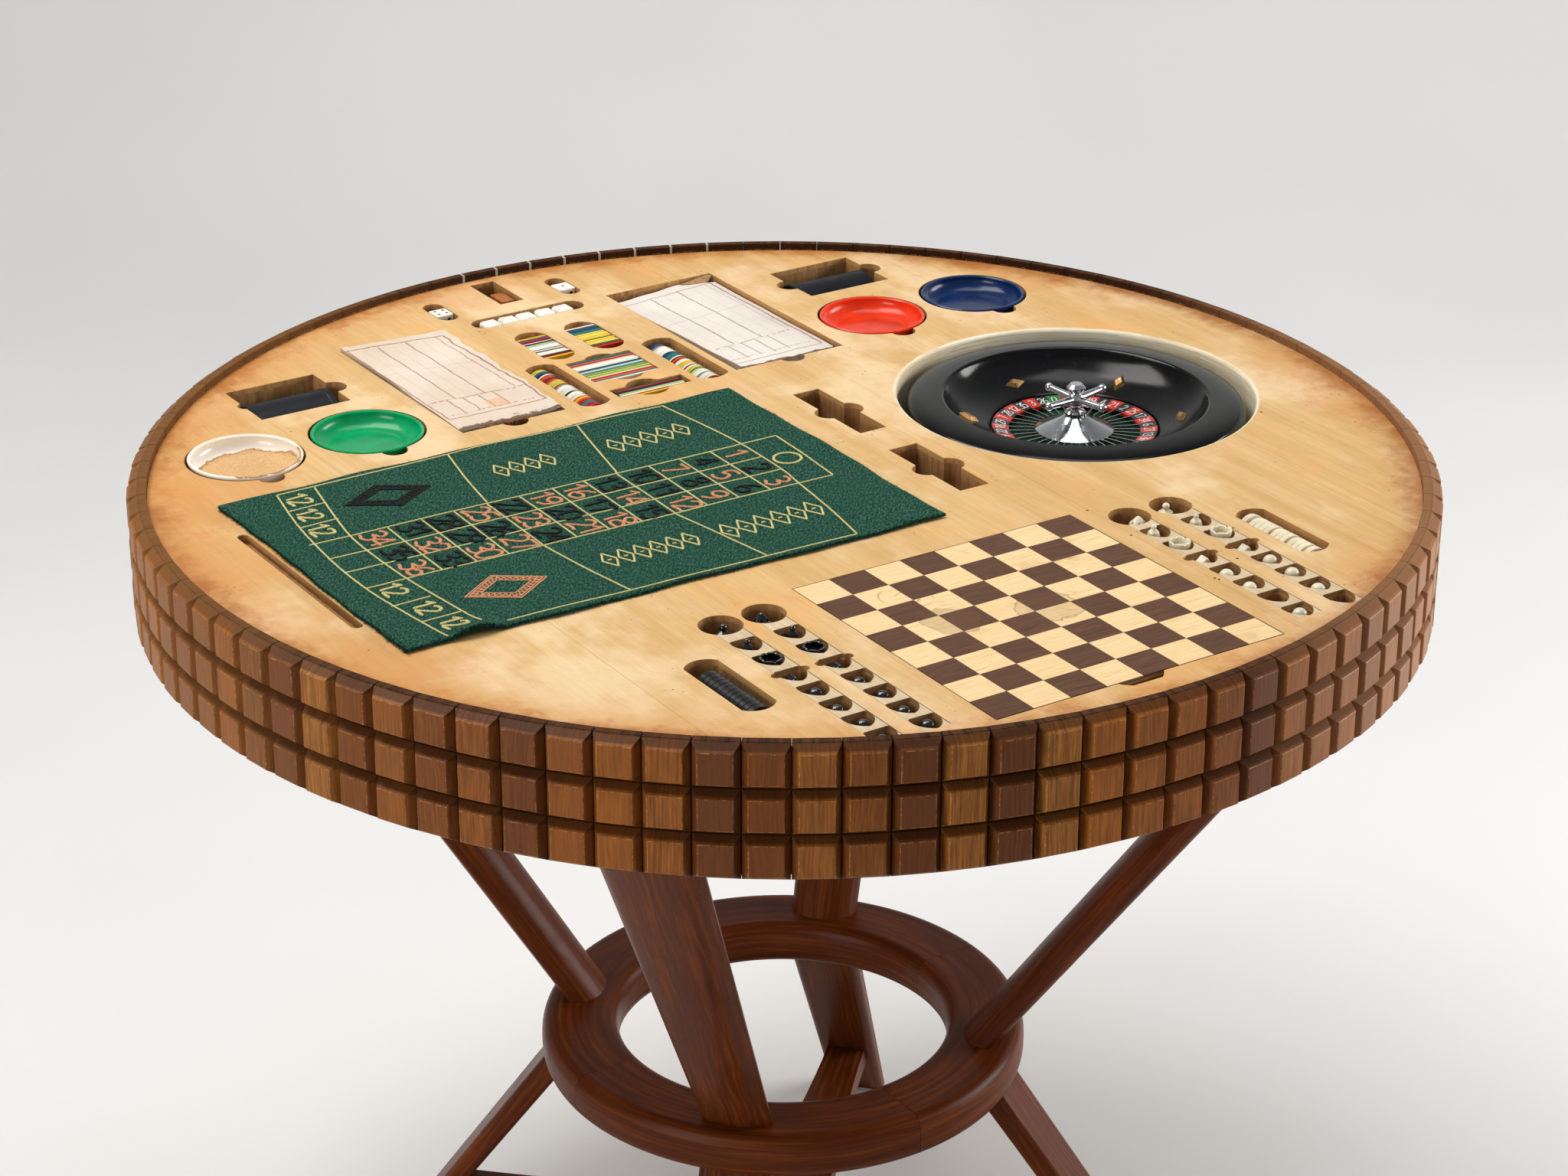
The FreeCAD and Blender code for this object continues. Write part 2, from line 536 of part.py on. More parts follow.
# ------------------------------------------------------------------ chessboard
base = box(bx0, by0, Z_BOARD, bx1, by1, Z_TOP - 0.8)
save("board_base", base)
light, dark = [], []
for i in range(8):
    for j in range(8):
        q = box(bx0 + i * SQUARE, by1 - (j + 1) * SQUARE, Z_TOP - 0.8, bx0 + (i + 1) * SQUARE, by1 - j * SQUARE, Z_TOP)
        (light if (i + j) % 2 == 0 else dark).append(q)
save("board_light", light)
save("board_dark", dark)


# -------------------------------------------------------------------- chessmen
def king(x, y, z):
    e = [(0, 0), (8.2, 0), (8.2, 2.2), (7.2, 3.4), (5.2, 5.5), (3.9, 12), (3.6, 19), (4.6, 21), (6.4, 22), (6.6, 25.5), (5.4, 29.2), (2.6, 31.0), (1.6, 31.8)]
    s = spin([(r, z + h) for r, h in e] + [(0, z + 31.8)], x, y)
    return s.fuse(Part.makeSphere(2.7, V(x, y, z + 33.6)))


def queen(x, y, z):
    e = [(0, 0), (8.0, 0), (8.0, 2.2), (7.0, 3.4), (5.0, 5.5), (3.7, 12), (3.4, 18), (4.6, 20), (5.4, 26), (6.6, 29.6), (6.2, 30.4), (1.3, 35.4)]
    s = spin([(r, z + h) for r, h in e] + [(0, z + 36.0)], x, y)
    for k in range(6):
        a = math.radians(60 * k)
        u = V(math.cos(a), math.sin(a), 0)
        s = s.cut(rod(V(x, y, z + 31.2).add(u * 4.4), V(x, y, z + 31.2).add(u * 9), 1.1))
    return s


def bishop(x, y, z):
    e = [(0, 0), (7.2, 0), (7.2, 2.0), (6.2, 3.2), (4.4, 5.0), (3.1, 11), (2.9, 17), (4.2, 18.6), (4.5, 20.4), (5.1, 24), (3.9, 27.6), (1.6, 30)]
    s = spin([(r, z + h) for r, h in e] + [(0, z + 30)], x, y)
    return s.fuse(Part.makeSphere(2.0, V(x, y, z + 31.2)))


def rook(x, y, z):
    e = [(0, 0), (7.6, 0), (7.6, 2.0), (6.6, 3.2), (5.0, 5.0), (4.4, 12), (4.6, 20), (7.4, 23.5), (8.0, 29.8), (6.3, 29.8), (6.0, 25.5)]
    s = spin([(r, z + h) for r, h in e] + [(0, z + 25.5)], x, y)
    for k in range(3):
        a = math.radians(60 * k + 20)
        c = V(9 * math.cos(a), 9 * math.sin(a), 0)
        s = s.cut(rod(V(x, y, z + 30.3).sub(c), V(x, y, z + 30.3).add(c), 1.3))
    return s


def knight(x, y, z):
    e = [(0, 0), (7.4, 0), (7.4, 2.0), (6.4, 3.2), (5.0, 5.0), (4.6, 9)]
    s = spin([(r, z + h) for r, h in e] + [(0, z + 9)], x, y)
    head = [(-5.2, 7), (4.6, 7), (5.0, 14), (4.4, 21), (2.6, 26), (-0.4, 30.4), (-1.6, 28.4), (-5.0, 25.8), (-8.8, 21.0), (-8.2, 18.4), (-4.6, 18.8), (-2.4, 17.6), (-4.4, 12.5)]
    p = [V(x + a, y - 4.1, z + 0.94 * b) for a, b in head]
    h = Part.Face(Part.makePolygon(p + [p[0]])).extrude(V(0, 8.2, 0))
    for r in (2.2, 1.7, 1.3, 0.9):
        g = soften(h, r)
        if g.Volume < 0.999 * h.Volume:
            h = g
            break
    return s.fuse(h)


def pawn(x, y, z):
    e = [(0, 0), (6.6, 0), (6.6, 2.0), (5.6, 3.2), (4.0, 5.0), (2.8, 10), (2.6, 15), (4.4, 16.6), (4.4, 17.8), (2.6, 18.8)]
    s = spin([(r, z + h) for r, h in e] + [(0, z + 18.8)], x, y)
    return s.fuse(Part.makeSphere(5.5, V(x, y, z + 23.2)))


BACK = (bishop, rook, knight, pawn, pawn, pawn, pawn)
BASE = {bishop: 7.2, rook: 8.1, knight: 7.4, pawn: 6.6}
# Where each man stands in his compartment: offset from its middle, by column and row.
STAND = {"chessmen_black": ((1.5, -1.0), (-1.5, 1.0),
                            ((-1.5, 1.0), (0.5, 2.0), (0.6, 1.6), (0.8, 2.4), (-1.2, 1.0), (1.4, 0.4), (-0.6, 1.6)),
                            ((1.0, 2.4), (-0.4, 1.4), (0.6, 1.6), (-1.0, 0.6), (0.6, 2.2), (-0.8, 2.0), (1.0, 3.6))),
         "chessmen_white": ((5.0, -3.8), (-1.0, 3.8),
                            ((-3.4, 2.6), (-0.6, 2.2), (0.6, 1.6), (-3.2, -1.5), (-3.0, -0.6), (0, 0), (-0.8, 0.2)),
                            ((-3.0, 1.4), (0.0, 2.0), (0.6, 1.6), (2.2, 2.2), (1.2, 3.2), (-0.8, -1.0), (0, 0)))}


def settle(cx, cy, a, b, r):
    """Draw a wanted offset in until a base of radius r stands clear of the compartment wall."""
    foot = min(cell(cx, cy, 0).Faces, key=lambda f: f.CenterOfMass.z).OuterWire
    for k in range(20):
        u, v = a * (1 - k / 20), 1.6 + (b - 1.6) * (1 - k / 20)
        if foot.distToShape(Part.Vertex(cx + u, cy + v, 0))[0] > r + 0.25:
            return cx + u, cy + v
    return cx, cy + 1.6


for name, cols, rows, yh, floor, empty in (("chessmen_black", COLS_B, ROWS_B, Y_HOLE_B, FLOOR_B, ()),
                                           ("chessmen_white", COLS_W, ROWS_W, Y_HOLE_W, FLOOR_W, ((0, 5), (1, 6)))):
    men = []
    for c, cx in enumerate(cols):
        tall = (king, queen)[c] if name.endswith("black") else (queen, king)[c]
        dx, dy = STAND[name][c]
        men.append(tall(cx + dx, yh + dy, Z_TOP - HOLE_DEPTH + 0.05))
        for i, cy in enumerate(rows):
            if (c, i) in empty:
                continue
            px, py = settle(cx, cy, *STAND[name][2 + c][i], BASE[BACK[i]])
            if math.hypot(cx, cy + 1.6) > R_PANEL - 10.5:      # the last one stands clear of the rim
                px, py = cx - 0.6, cy + 3.6
            men.append(BACK[i](px, py, floor + 0.05))
    save(name, men)


# -------------------------------------------------------------------- draughts
def stack(x, y0, z, groups, gap, lean):
    """Draughts on edge in a row from y0 towards +Y; between groups there is a gap, and a group leans back a little."""
    out, y = [], y0
    for g, n in enumerate(groups):
        for i in range(n):
            out.append(disc_y(x, y + i * CHECKER_T, z, CHECKER_R, CHECKER_T - 0.08, 0.35))
            out[-1].rotate(V(x, y, z - CHECKER_R), V(1, 0, 0), -lean[g])
            out[-1].translate(V(0, 0, (n * CHECKER_T) * math.sin(math.radians(lean[g]))))
        y += n * CHECKER_T + gap
    return out


CHECKER_T = 5.36
zc = Z_TOP - 24.6 + CHECKER_R + 0.05
save("draughts_black", stack((-254.2 + -227.1) / 2, -340.4, zc, (12,), 0, (0,)))
save("draughts_white", stack((216.9 + 243.0) / 2, -340.4, zc, (1, 3, 3, 4, 1), 2.1, (0, 0, 1.0, 0.8, 3.5)))

# ---------------------------------------------------------------- chips, plaques
def tiles(q, h, n, w, z0):
    """Thin oblong plaques standing on edge across a pocket."""
    cx, p = (q[0] + q[2]) / 2, (q[3] - q[1] - 0.6) / n
    out = []
    for i in range(n):
        dx = 0.35 * math.sin(2.3 * i + 0.4)
        dz = 0.35 * (1 + math.sin(1.7 * i))
        b = box(cx - w / 2 + dx, q[1] + 0.3 + i * p, z0, cx + w / 2 + dx, q[1] + 0.3 + (i + 1) * p - 0.12, z0 + h - dz)
        out.append(b)
    return out


save("chips_back_left", tiles(ST_L, 23.4, 21, 26.6, Z_TOP - 23.95))
save("chips_back_right", tiles(ST_R, 23.4, 21, 27.0, Z_TOP - 23.95))
save("plaques_centre", tiles(PLQ_A, 20.4, 21, 57.6, Z_TOP - 20.95))
save("plaques_front", tiles(PLQ_B, 19.4, 8, 59.0, Z_TOP - 20.95))


def counters(q, side):
    """Small round counters on edge, leaning slowly from one side of the slot to the other."""
    n, r = 40, 11.8
    y0, y1 = q[1] + ROW_INSET + 6.3, q[3] - ROW_INSET - 6.3
    p = (y1 - y0) / n
    out = []
    for i in range(n):
        u = i / (n - 1)
        x = (q[0] + q[2]) / 2 + side * (0.5 - u) + 0.4 * math.sin(1.9 * i)
        out.append(disc_y(x, y0 + i * p, Z_TOP - 25.15 + r, r, p - 0.1, 0.0))
    return out


save("chips_row_left", counters(ROW_L, 1.0))
save("chips_row_right", counters(ROW_R, 1.0))

# ------------------------------------------------------------------------ dice
dice = []
z0 = Z_TOP - 15.45
for i, x in enumerate((-44.2, -27.3, -10.9, 7.0, 23.9)):
    b = box(-7.75, -7.75, 0, 7.75, 7.75, 15.5)
    b = soften(b, 3.2)
    b.rotate(V(0, 0, 0), V(0, 0, 1), (3, -2, 1, -3, 2)[i])
    b.translate(V(x + 1.0, 377.6, z0))
    dice.append(b)
save("poker_dice", dice)


def die(x, y, pips):
    b = soften(box(-7.8, -7.8, 0, 7.8, 7.8, 15.6), 1.1)
    marks = []
    for u, v in pips:
        marks.append(cyl(u, v, 15.1, 15.6, 1.35))
    b = b.cut(marks)
    faces = {1: [(0, 0)], 2: [(-3.6, -3.6), (3.6, 3.6)], 3: [(-3.6, -3.6), (0, 0), (3.6, 3.6)]}
    for n, side in ((2, V(0, -1, 0)), (3, V(1, 0, 0)), (3, V(-1, 0, 0)), (2, V(0, 1, 0))):
        for u, v in faces[n]:
            o = V(side.x * 7.3 + abs(side.y) * u, side.y * 7.3 + abs(side.x) * u, 7.8 + v)
            marks.append(Part.makeCylinder(1.35, 0.5, o, side))
    b = b.cut(marks[len(pips):])
    b.translate(V(x, y, z0))
    for m in marks:
        m.translate(V(x, y, z0))
    return b, marks


d1, m1 = die(DIE_L[0], DIE_L[1] - 1.0, [(-3.6, -3.6), (3.6, -3.6), (-3.6, 3.6), (3.6, 3.6)])
d2, m2 = die(DIE_R[0], DIE_R[1] - 1.0, [(0, 0)])
save("dice_pair", [d1, d2])
save("dice_pips", m1 + m2)

blk = soften(box(-6.0, -11.0, 0, 6.0, 11.0, 32.8), 0.7)
blk.translate(V(BLOCK[0] + 13.6, BLOCK[1] + 22.0, Z_TOP - 35.95))
nub = soften(box(-6.0, -4.3, 0, 6.0, 4.3, 30.5), 1.2)
nub.translate(V(BLOCK[0] + 13.2, BLOCK[1] + 5.9, Z_TOP - 35.95))
save("wood_block", [blk, nub])

# ------------------------------------------------------------------------ cups
def cup(q, mouth):
    """A dice cup lying on its side, mouth towards +X or -X."""
    L, r = q[2] - q[0] - 4.0, 27.0
    o = [(0, 0), (r - 2.0, 0), (r - 0.4, 1.6), (r - 0.4, L - 6), (r, L - 5), (r, L - 1), (r - 1, L), (r - 3.0, L), (r - 4.0, L - 1.5), (r - 4.0, 5.0), (0, 5.0)]
    s = spin(o, 0, 0)
    s.rotate(V(0, 0, 0), V(0, 1, 0), 90 if mouth > 0 else -90)
    s.translate(V(q[0] + 2.0 if mouth > 0 else q[2] - 2.0, (q[1] + q[3]) / 2, CUP_FLOOR + r + 0.05))
    return s


save("dice_cup_left", cup(CUP_L, 1))
save("dice_cup_right", cup(CUP_R, -1))

# ---------------------------------------------------------------------- dishes
for name, (x, y) in DISHES.items():
    R0, H = DISH_R, (17.0 if name == "white" else 15.6)
    foot = [(0, 1.4), (23, 1.4), (24, 0), (27, 0), (28, 1.5)]
    prof_out = [(28, 1.5), (36, 3.4), (40.4, 7.2), (42.2, H - 3.2)]
    lip = [(42.2, H - 3.2), (R0, H - 2.2), (R0, H - 0.8), (R0 - 0.8, H), (R0 - 2.0, H), (R0 - 2.9, H - 1.0)]
    prof_in = [(R0 - 2.9, H - 1.0), (38.8, 8.4), (34.6, 5.0), (27, 3.6), (0, 3.2)]
    e = [seg(a, b) for a, b in zip(foot, foot[1:])]
    e.append(curve(prof_out))
    e += [seg(a, b) for a, b in zip(lip, lip[1:])]
    e.append(curve(prof_in[:4]))
    e.append(seg(prof_in[3], prof_in[4]))
    e.append(seg(prof_in[4], foot[0]))
    s = spin_edges(e, x, y)
    s.translate(V(0, 0, Z_DISH + 0.05))
    save("dish_" + name, s)

# ------------------------------------------------------------------------ pads
def pad(q, x1, y0, y1, t, zf):
    pts = [(q[0] + 1.2, y0 + 1.5), (q[0] + 20, y0), (q[0] + 45, y0 + 1.2), (x1 - 24, y0 + 0.2), (x1 - 1.5, y0 + 2.0),
           (x1 - 1.0, (y0 + y1) / 2), (x1 - 1.4, y1 - 1), (q[0] + 1.0, y1)]
    return plate(pts, zf, zf + t)


save("pad_left", pad(PAD_L, PAD_L[2] - 1.5, PAD_L[1] + 7.0, PAD_L[3] - 2.0, 12.6, Z_TOP - 12.95))
save("pad_right", pad(PAD_R, 165.3, PAD_R[1] + 2.0, PAD_R[3] - 3.0, 8.0, Z_TOP - 14.95))

# ----------------------------------------------------------------------- cloth
cx0, cx1, cy0, cy1 = -398.5, 41.7, -152.0, 147.3
edge = []
NX, NY = 28, 18
for i in range(NX):
    edge.append((cx0 + (cx1 - cx0) * i / NX, cy0 + 1.6 * math.sin(1.1 * i) + 6.0 * math.exp(-((i - 3.5) / 2.2) ** 2)))
for i in range(NY):
    edge.append((cx1 + 1.4 * math.sin(1.7 * i + 1), cy0 + (cy1 - cy0) * i / NY))
for i in range(NX):
    edge.append((cx1 - (cx1 - cx0) * i / NX, cy1 + 1.5 * math.sin(1.3 * i + 2)))
for i in range(NY):
    edge.append((cx0 + 1.4 * math.sin(1.9 * i), cy1 - (cy1 - cy0) * i / NY))
save("layout_cloth", plate(edge, Z_TOP + 0.02, Z_TOP + 1.6))

# ------------------------------------------------------------------- roulette
zr = Z_TOP - 2.3               # crest of the bowl's lip
zn = Z_TOP - 30.0              # middle of the number ring
bottom_z = Z_BOWL + 0.05
inner = [(106, zr), (104.2, zr - 0.8), (102.6, zr - 3.0), (100.2, zr - 6.4), (95.6, zr - 11.2), (90, zr - 15.8), (84, zr - 19.2), (76, zr - 22.4), (68.5, zr - 24.8)]
outer = [(106, zr), (111, zr - 0.2), (119, zr - 1.0), (126.5, zr - 2.6), (131.3, zr - 5.2), (BOWL_R, zr - 9.2), (133, zr - 19), (127, zr - 33), (115, zr - 44), (102, bottom_z + 1.5)]
e = [curve(outer), seg(outer[-1], (102, bottom_z)), seg((102, bottom_z), (4.0, bottom_z)), seg((4.0, bottom_z), (4.0, zn - 13)),
     seg((4.0, zn - 13), (67.0, zn - 13)), seg((67.0, zn - 13), (67.0, zr - 25.6)), seg((67.0, zr - 25.6), inner[-1]), curve(inner)]
save("roulette_bowl", spin_edges(e, WELL_X, WELL_Y))

# Six lozenge deflectors, alternately along and across the slope.
defl = []
for k in range(6):
    a = 28 + 60 * k
    L, W = (9.6, 5.4) if k % 2 == 0 else (5.4, 9.6)      # even ones lie along the slope
    rr = 84.0
    zs = zr - 19.2
    lo = [V(L, 0, 0), V(0, W, 0), V(-L, 0, 0), V(0, -W, 0)]
    hi = [V(L * 0.55, 0, 2.6), V(0, W * 0.55, 2.6), V(-L * 0.55, 0, 2.6), V(0, -W * 0.55, 2.6)]
    lo0 = [v + V(0, 0, -1.5) for v in lo]
    s = Part.makeLoft([Part.makePolygon(w + [w[0]]) for w in (lo0, lo, hi)], True, True)
    s.rotate(V(0, 0, 0), V(0, 1, 0), -26.0)
    s.translate(V(rr, 0, zs + 0.1))
    s.rotate(V(0, 0, 0), V(0, 0, 1), a)
    s.translate(V(WELL_X, WELL_Y, 0))
    defl.append(s)
bowl_solid = spin_edges(e, WELL_X, WELL_Y)
defl = [d.cut(bowl_solid) for d in defl]
save("deflectors", [max(d.Solids, key=lambda t: t.Volume) for d in defl])

# Spindle pressed in the bowl; the rotor turns on it with a plain bush.
spindle = spin([(0, bottom_z), (3.98, bottom_z), (3.98, zn - 13), (6.5, zn - 13), (6.5, zn - 11.2), (4.0, zn - 11.2), (4.0, zn + 6.5), (3.0, zn + 8), (0, zn + 8)], WELL_X, WELL_Y)
save("wheel_spindle", spindle)
bush = spin([(4.05, zn - 11.15), (8.0, zn - 11.15), (8.0, zn + 6), (4.05, zn + 6)], WELL_X, WELL_Y)
save("rotor_bush", bush)
R_OUT, R_IN, R_CONE = 65.3, 52.0, 31.0
disc = spin([(8.0, zn - 10), (60, zn - 10), (R_OUT, zn - 6), (R_OUT, zn - 1.5), (R_IN, zn - 3.5), (R_IN, zn - 7.0), (8.0, zn - 7.0)], WELL_X, WELL_Y)
save("rotor_disc", disc)
save("pocket_floor", spin([(R_CONE, zn - 7.0), (R_IN, zn - 7.0), (R_IN, zn - 6.0), (R_CONE, zn - 6.0)], WELL_X, WELL_Y))
red = (32, 19, 21, 25, 34, 27, 36, 30, 23, 5, 16, 1, 14, 9, 18, 7, 12, 3)
order = (0, 32, 15, 19, 4, 21, 2, 25, 17, 34, 6, 27, 13, 36, 11, 30, 8, 23, 10, 5, 24, 16, 33, 1, 20, 14, 31, 9, 22, 18, 29, 7, 28, 12, 35, 3, 26)
wedge_face = Part.Face(Part.makePolygon([V(R_IN, 0, zn - 3.5), V(R_OUT, 0, zn - 1.5), V(R_OUT, 0, zn + 1.6), V(R_IN, 0, zn - 0.6), V(R_IN, 0, zn - 3.5)]))
step = 360.0 / POCKETS
groups = {"ring_red": [], "ring_black": [], "ring_green": []}
for k, n in enumerate(order):
    f = wedge_face.copy()
    f.rotate(V(0, 0, 0), V(0, 0, 1), ZERO_ANGLE - (k + 0.5) * step)
    s = f.revolve(V(0, 0, 0), V(0, 0, 1), step)
    s.translate(V(WELL_X, WELL_Y, 0))
    groups["ring_green" if n == 0 else "ring_red" if n in red else "ring_black"].append(s)
for g, s in groups.items():
    save(g, s)
frets = []
for k in range(POCKETS):
    b = box(R_CONE + 0.1, -0.45, zn - 6.0, R_IN - 0.05, 0.45, zn - 0.9)
    b.rotate(V(0, 0, 0), V(0, 0, 1), ZERO_ANGLE - (k + 0.5) * step)
    b.translate(V(WELL_X, WELL_Y, 0))
    frets.append(b)
save("rotor_frets", frets)
cone_pts = [(R_CONE, zn - 0.6), (22.5, zn + 3.4), (14.5, zn + 7.2), (9.0, zn + 10.6)]
e = [seg((8.0, zn - 7.0), (R_CONE, zn - 7.0)), seg((R_CONE, zn - 7.0), cone_pts[0]), curve(cone_pts), seg((9.0, zn + 10.6), (0, zn + 10.6)),
     seg((0, zn + 10.6), (0, zn + 8.1)), seg((0, zn + 8.1), (8.0, zn + 8.1)), seg((8.0, zn + 8.1), (8.0, zn - 7.0))]
save("rotor_cone", spin_edges(e, WELL_X, WELL_Y))
stem = [(0, zn + 10.6), (7.2, zn + 10.6), (8.6, zn + 12.2), (8.6, zn + 13.6), (7.0, zn + 15.2), (4.6, zn + 16.0), (4.2, zn + 20.0)]
cross = spin(stem + [(0, zn + 20.0)], WELL_X, WELL_Y).fuse(Part.makeSphere(7.0, V(WELL_X, WELL_Y, zn + 23.6)))
for k in range(4):
    a = math.radians(8 + 90 * k)
    u = V(math.cos(a), math.sin(a), 0)
    c = V(WELL_X, WELL_Y, zn + 23.6)
    arm = Part.makeCone(3.6, 2.5, 29.0, c, u + V(0, 0, 0.06))
    tip = c + u * 29.5 + V(0, 0, 1.8)
    cross = cross.fuse([arm, Part.makeSphere(3.5, tip)])
neck = [(0, zn + 29.0), (4.2, zn + 29.0), (7.4, zn + 33.2), (7.4, zn + 34.4), (4.8, zn + 37.0), (0, zn + 37.0)]
cross = cross.fuse(spin(neck, WELL_X, WELL_Y)).removeSplitter()
save("turret_cross", cross)
print("done")
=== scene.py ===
import math
import random

import bpy
import numpy as np
from mathutils import Matrix, Vector


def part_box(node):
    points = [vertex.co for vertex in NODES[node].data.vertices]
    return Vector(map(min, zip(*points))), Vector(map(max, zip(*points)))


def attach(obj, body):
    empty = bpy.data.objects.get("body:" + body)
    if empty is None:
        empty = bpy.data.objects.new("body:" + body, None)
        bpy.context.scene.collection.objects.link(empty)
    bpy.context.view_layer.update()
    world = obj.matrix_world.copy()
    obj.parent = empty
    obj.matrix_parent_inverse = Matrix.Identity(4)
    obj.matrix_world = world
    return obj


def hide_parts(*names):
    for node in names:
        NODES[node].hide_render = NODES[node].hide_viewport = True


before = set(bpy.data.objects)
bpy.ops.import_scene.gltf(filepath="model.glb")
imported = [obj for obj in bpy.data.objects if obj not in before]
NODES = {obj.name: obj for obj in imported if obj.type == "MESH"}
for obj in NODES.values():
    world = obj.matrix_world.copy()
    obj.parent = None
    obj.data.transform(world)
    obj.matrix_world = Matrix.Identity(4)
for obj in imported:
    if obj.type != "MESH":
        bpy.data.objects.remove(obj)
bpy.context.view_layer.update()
Z_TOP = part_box("top_sheet")[1].z          # playing surface
Z_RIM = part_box("rim_staves")[1].z
R_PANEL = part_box("top_sheet")[1].x


# --------------------------------------------------------------------- helpers
def rgb(r, g, b):
    """sRGB 0-255 to linear."""
    def f(c):
        c /= 255.0
        return c / 12.92 if c <= 0.04045 else ((c + 0.055) / 1.055) ** 2.4
    return (f(r), f(g), f(b), 1.0)


class Graph:
    """A small shorthand for building a material's node tree."""

    def __init__(self, name):
        self.mat = bpy.data.materials.new(name)
        self.mat.use_nodes = True
        self.t = self.mat.node_tree
        self.t.nodes.clear()
        self.out = self.t.nodes.new("ShaderNodeOutputMaterial")
        self.bsdf = self.t.nodes.new("ShaderNodeBsdfPrincipled")
        self.t.links.new(self.bsdf.outputs[0], self.out.inputs[0])
        self.tc = self.t.nodes.new("ShaderNodeTexCoord")
        self.obj = self.tc.outputs["Object"]
        self._xyz = None
        self._nrm = None

    def put(self, sock, v):
        if isinstance(v, bpy.types.NodeSocket):
            self.t.links.new(v, sock)
        elif v is not None:
            if isinstance(v, (tuple, list)) and len(v) == 4 and sock.type == "VECTOR":
                v = v[:3]
            sock.default_value = v

    def m(self, op, a, b=None, c=None, clamp=False):
        n = self.t.nodes.new("ShaderNodeMath")
        n.operation = op
        n.use_clamp = clamp
        for i, v in enumerate((a, b, c)):
            if v is not None:
                self.put(n.inputs[i], v)
        return n.outputs[0]

    def v(self, op, a, b=None):
        n = self.t.nodes.new("ShaderNodeVectorMath")
        n.operation = op
        self.put(n.inputs[0], a)
        if b is not None:
            self.put(n.inputs[1], b)
        return n.outputs["Value"] if op in ("LENGTH", "DOT_PRODUCT", "DISTANCE") else n.outputs[0]

    def xyz(self, vec=None):
        if vec is None:
            if self._xyz is None:
                n = self.t.nodes.new("ShaderNodeSeparateXYZ")
                self.t.links.new(self.obj, n.inputs[0])
                self._xyz = n.outputs
            return self._xyz
        n = self.t.nodes.new("ShaderNodeSeparateXYZ")
        self.put(n.inputs[0], vec)
        return n.outputs

    def nrm(self):
        if self._nrm is None:
            self._nrm = self.xyz(self.tc.outputs["Normal"])
        return self._nrm

    def comb(self, x, y, z):
        n = self.t.nodes.new("ShaderNodeCombineXYZ")
        for i, v in enumerate((x, y, z)):
            self.put(n.inputs[i], v)
        return n.outputs[0]

    def scaled(self, s, vec=None):
        return self.v("MULTIPLY", self.obj if vec is None else vec, s)

    def noise(self, vec, scale=1.0, detail=3.0, rough=0.55, dist=0.0, out=0):
        n = self.t.nodes.new("ShaderNodeTexNoise")
        self.put(n.inputs["Vector"], vec)
        self.put(n.inputs["Scale"], scale)
        n.inputs["Detail"].default_value = detail
        n.inputs["Roughness"].default_value = rough
        n.inputs["Distortion"].default_value = dist
        return n.outputs[out]

    def voro(self, vec, scale, feature="F1", out=0, rnd=1.0):
        n = self.t.nodes.new("ShaderNodeTexVoronoi")
        n.feature = feature
        self.put(n.inputs["Vector"], vec)
        self.put(n.inputs["Scale"], scale)
        n.inputs["Randomness"].default_value = rnd
        return n.outputs[out]

    def white(self, v):
        n = self.t.nodes.new("ShaderNodeTexWhiteNoise")
        if isinstance(v, bpy.types.NodeSocket) and v.type == "VALUE":
            n.noise_dimensions = "1D"
            self.put(n.inputs["W"], v)
        else:
            n.noise_dimensions = "3D"
            self.put(n.inputs["Vector"], v)
        return n.outputs

    def ramp(self, fac, stops, interp="LINEAR"):
        n = self.t.nodes.new("ShaderNodeValToRGB")
        cr = n.color_ramp
        cr.interpolation = interp
        while len(cr.elements) < len(stops):
            cr.elements.new(0.5)
        for e, (p, c) in zip(cr.elements, stops):
            e.position = p
            e.color = c if isinstance(c, (tuple, list)) else (c, c, c, 1)
        self.put(n.inputs[0], fac)
        return n.outputs[0]

    def mix(self, fac, a, b, mode="MIX"):
        n = self.t.nodes.new("ShaderNodeMix")
        n.data_type = "RGBA"
        n.blend_type = mode
        n.clamp_factor = True
        self.put(n.inputs[0], fac)
        self.put(n.inputs[6], a)
        self.put(n.inputs[7], b)
        return n.outputs[2]

    def step(self, x, lo, hi):
        """Smooth step: 0 below lo, 1 above hi (lo may be the larger)."""
        n = self.t.nodes.new("ShaderNodeMapRange")
        n.interpolation_type = "SMOOTHSTEP"
        self.put(n.inputs[0], x)
        n.inputs[1].default_value = lo
        n.inputs[2].default_value = hi
        n.inputs[3].default_value = 0.0
        n.inputs[4].default_value = 1.0
        return n.outputs[0]

    def lerp(self, x, lo, hi, a, b):
        n = self.t.nodes.new("ShaderNodeMapRange")
        self.put(n.inputs[0], x)
        for i, v in enumerate((lo, hi, a, b)):
            n.inputs[1 + i].default_value = v
        return n.outputs[0]

    def bump(self, h, dist=0.0004, strength=0.6, normal=None):
        n = self.t.nodes.new("ShaderNodeBump")
        n.inputs["Distance"].default_value = dist
        n.inputs["Strength"].default_value = strength
        self.put(n.inputs["Height"], h)
        if normal is not None:
            self.put(n.inputs["Normal"], normal)
        return n.outputs[0]

    def round_edges(self, r=0.0006, samples=4):
        n = self.t.nodes.new("ShaderNodeBevel")
        n.samples = samples
        n.inputs["Radius"].default_value = r
        return n.outputs[0]

    def band(self, x, centre, half, soft):
        """1 within half of centre, falling off over soft."""
        d = self.m("ABSOLUTE", self.m("SUBTRACT", x, centre))
        return self.step(d, half + soft, half)

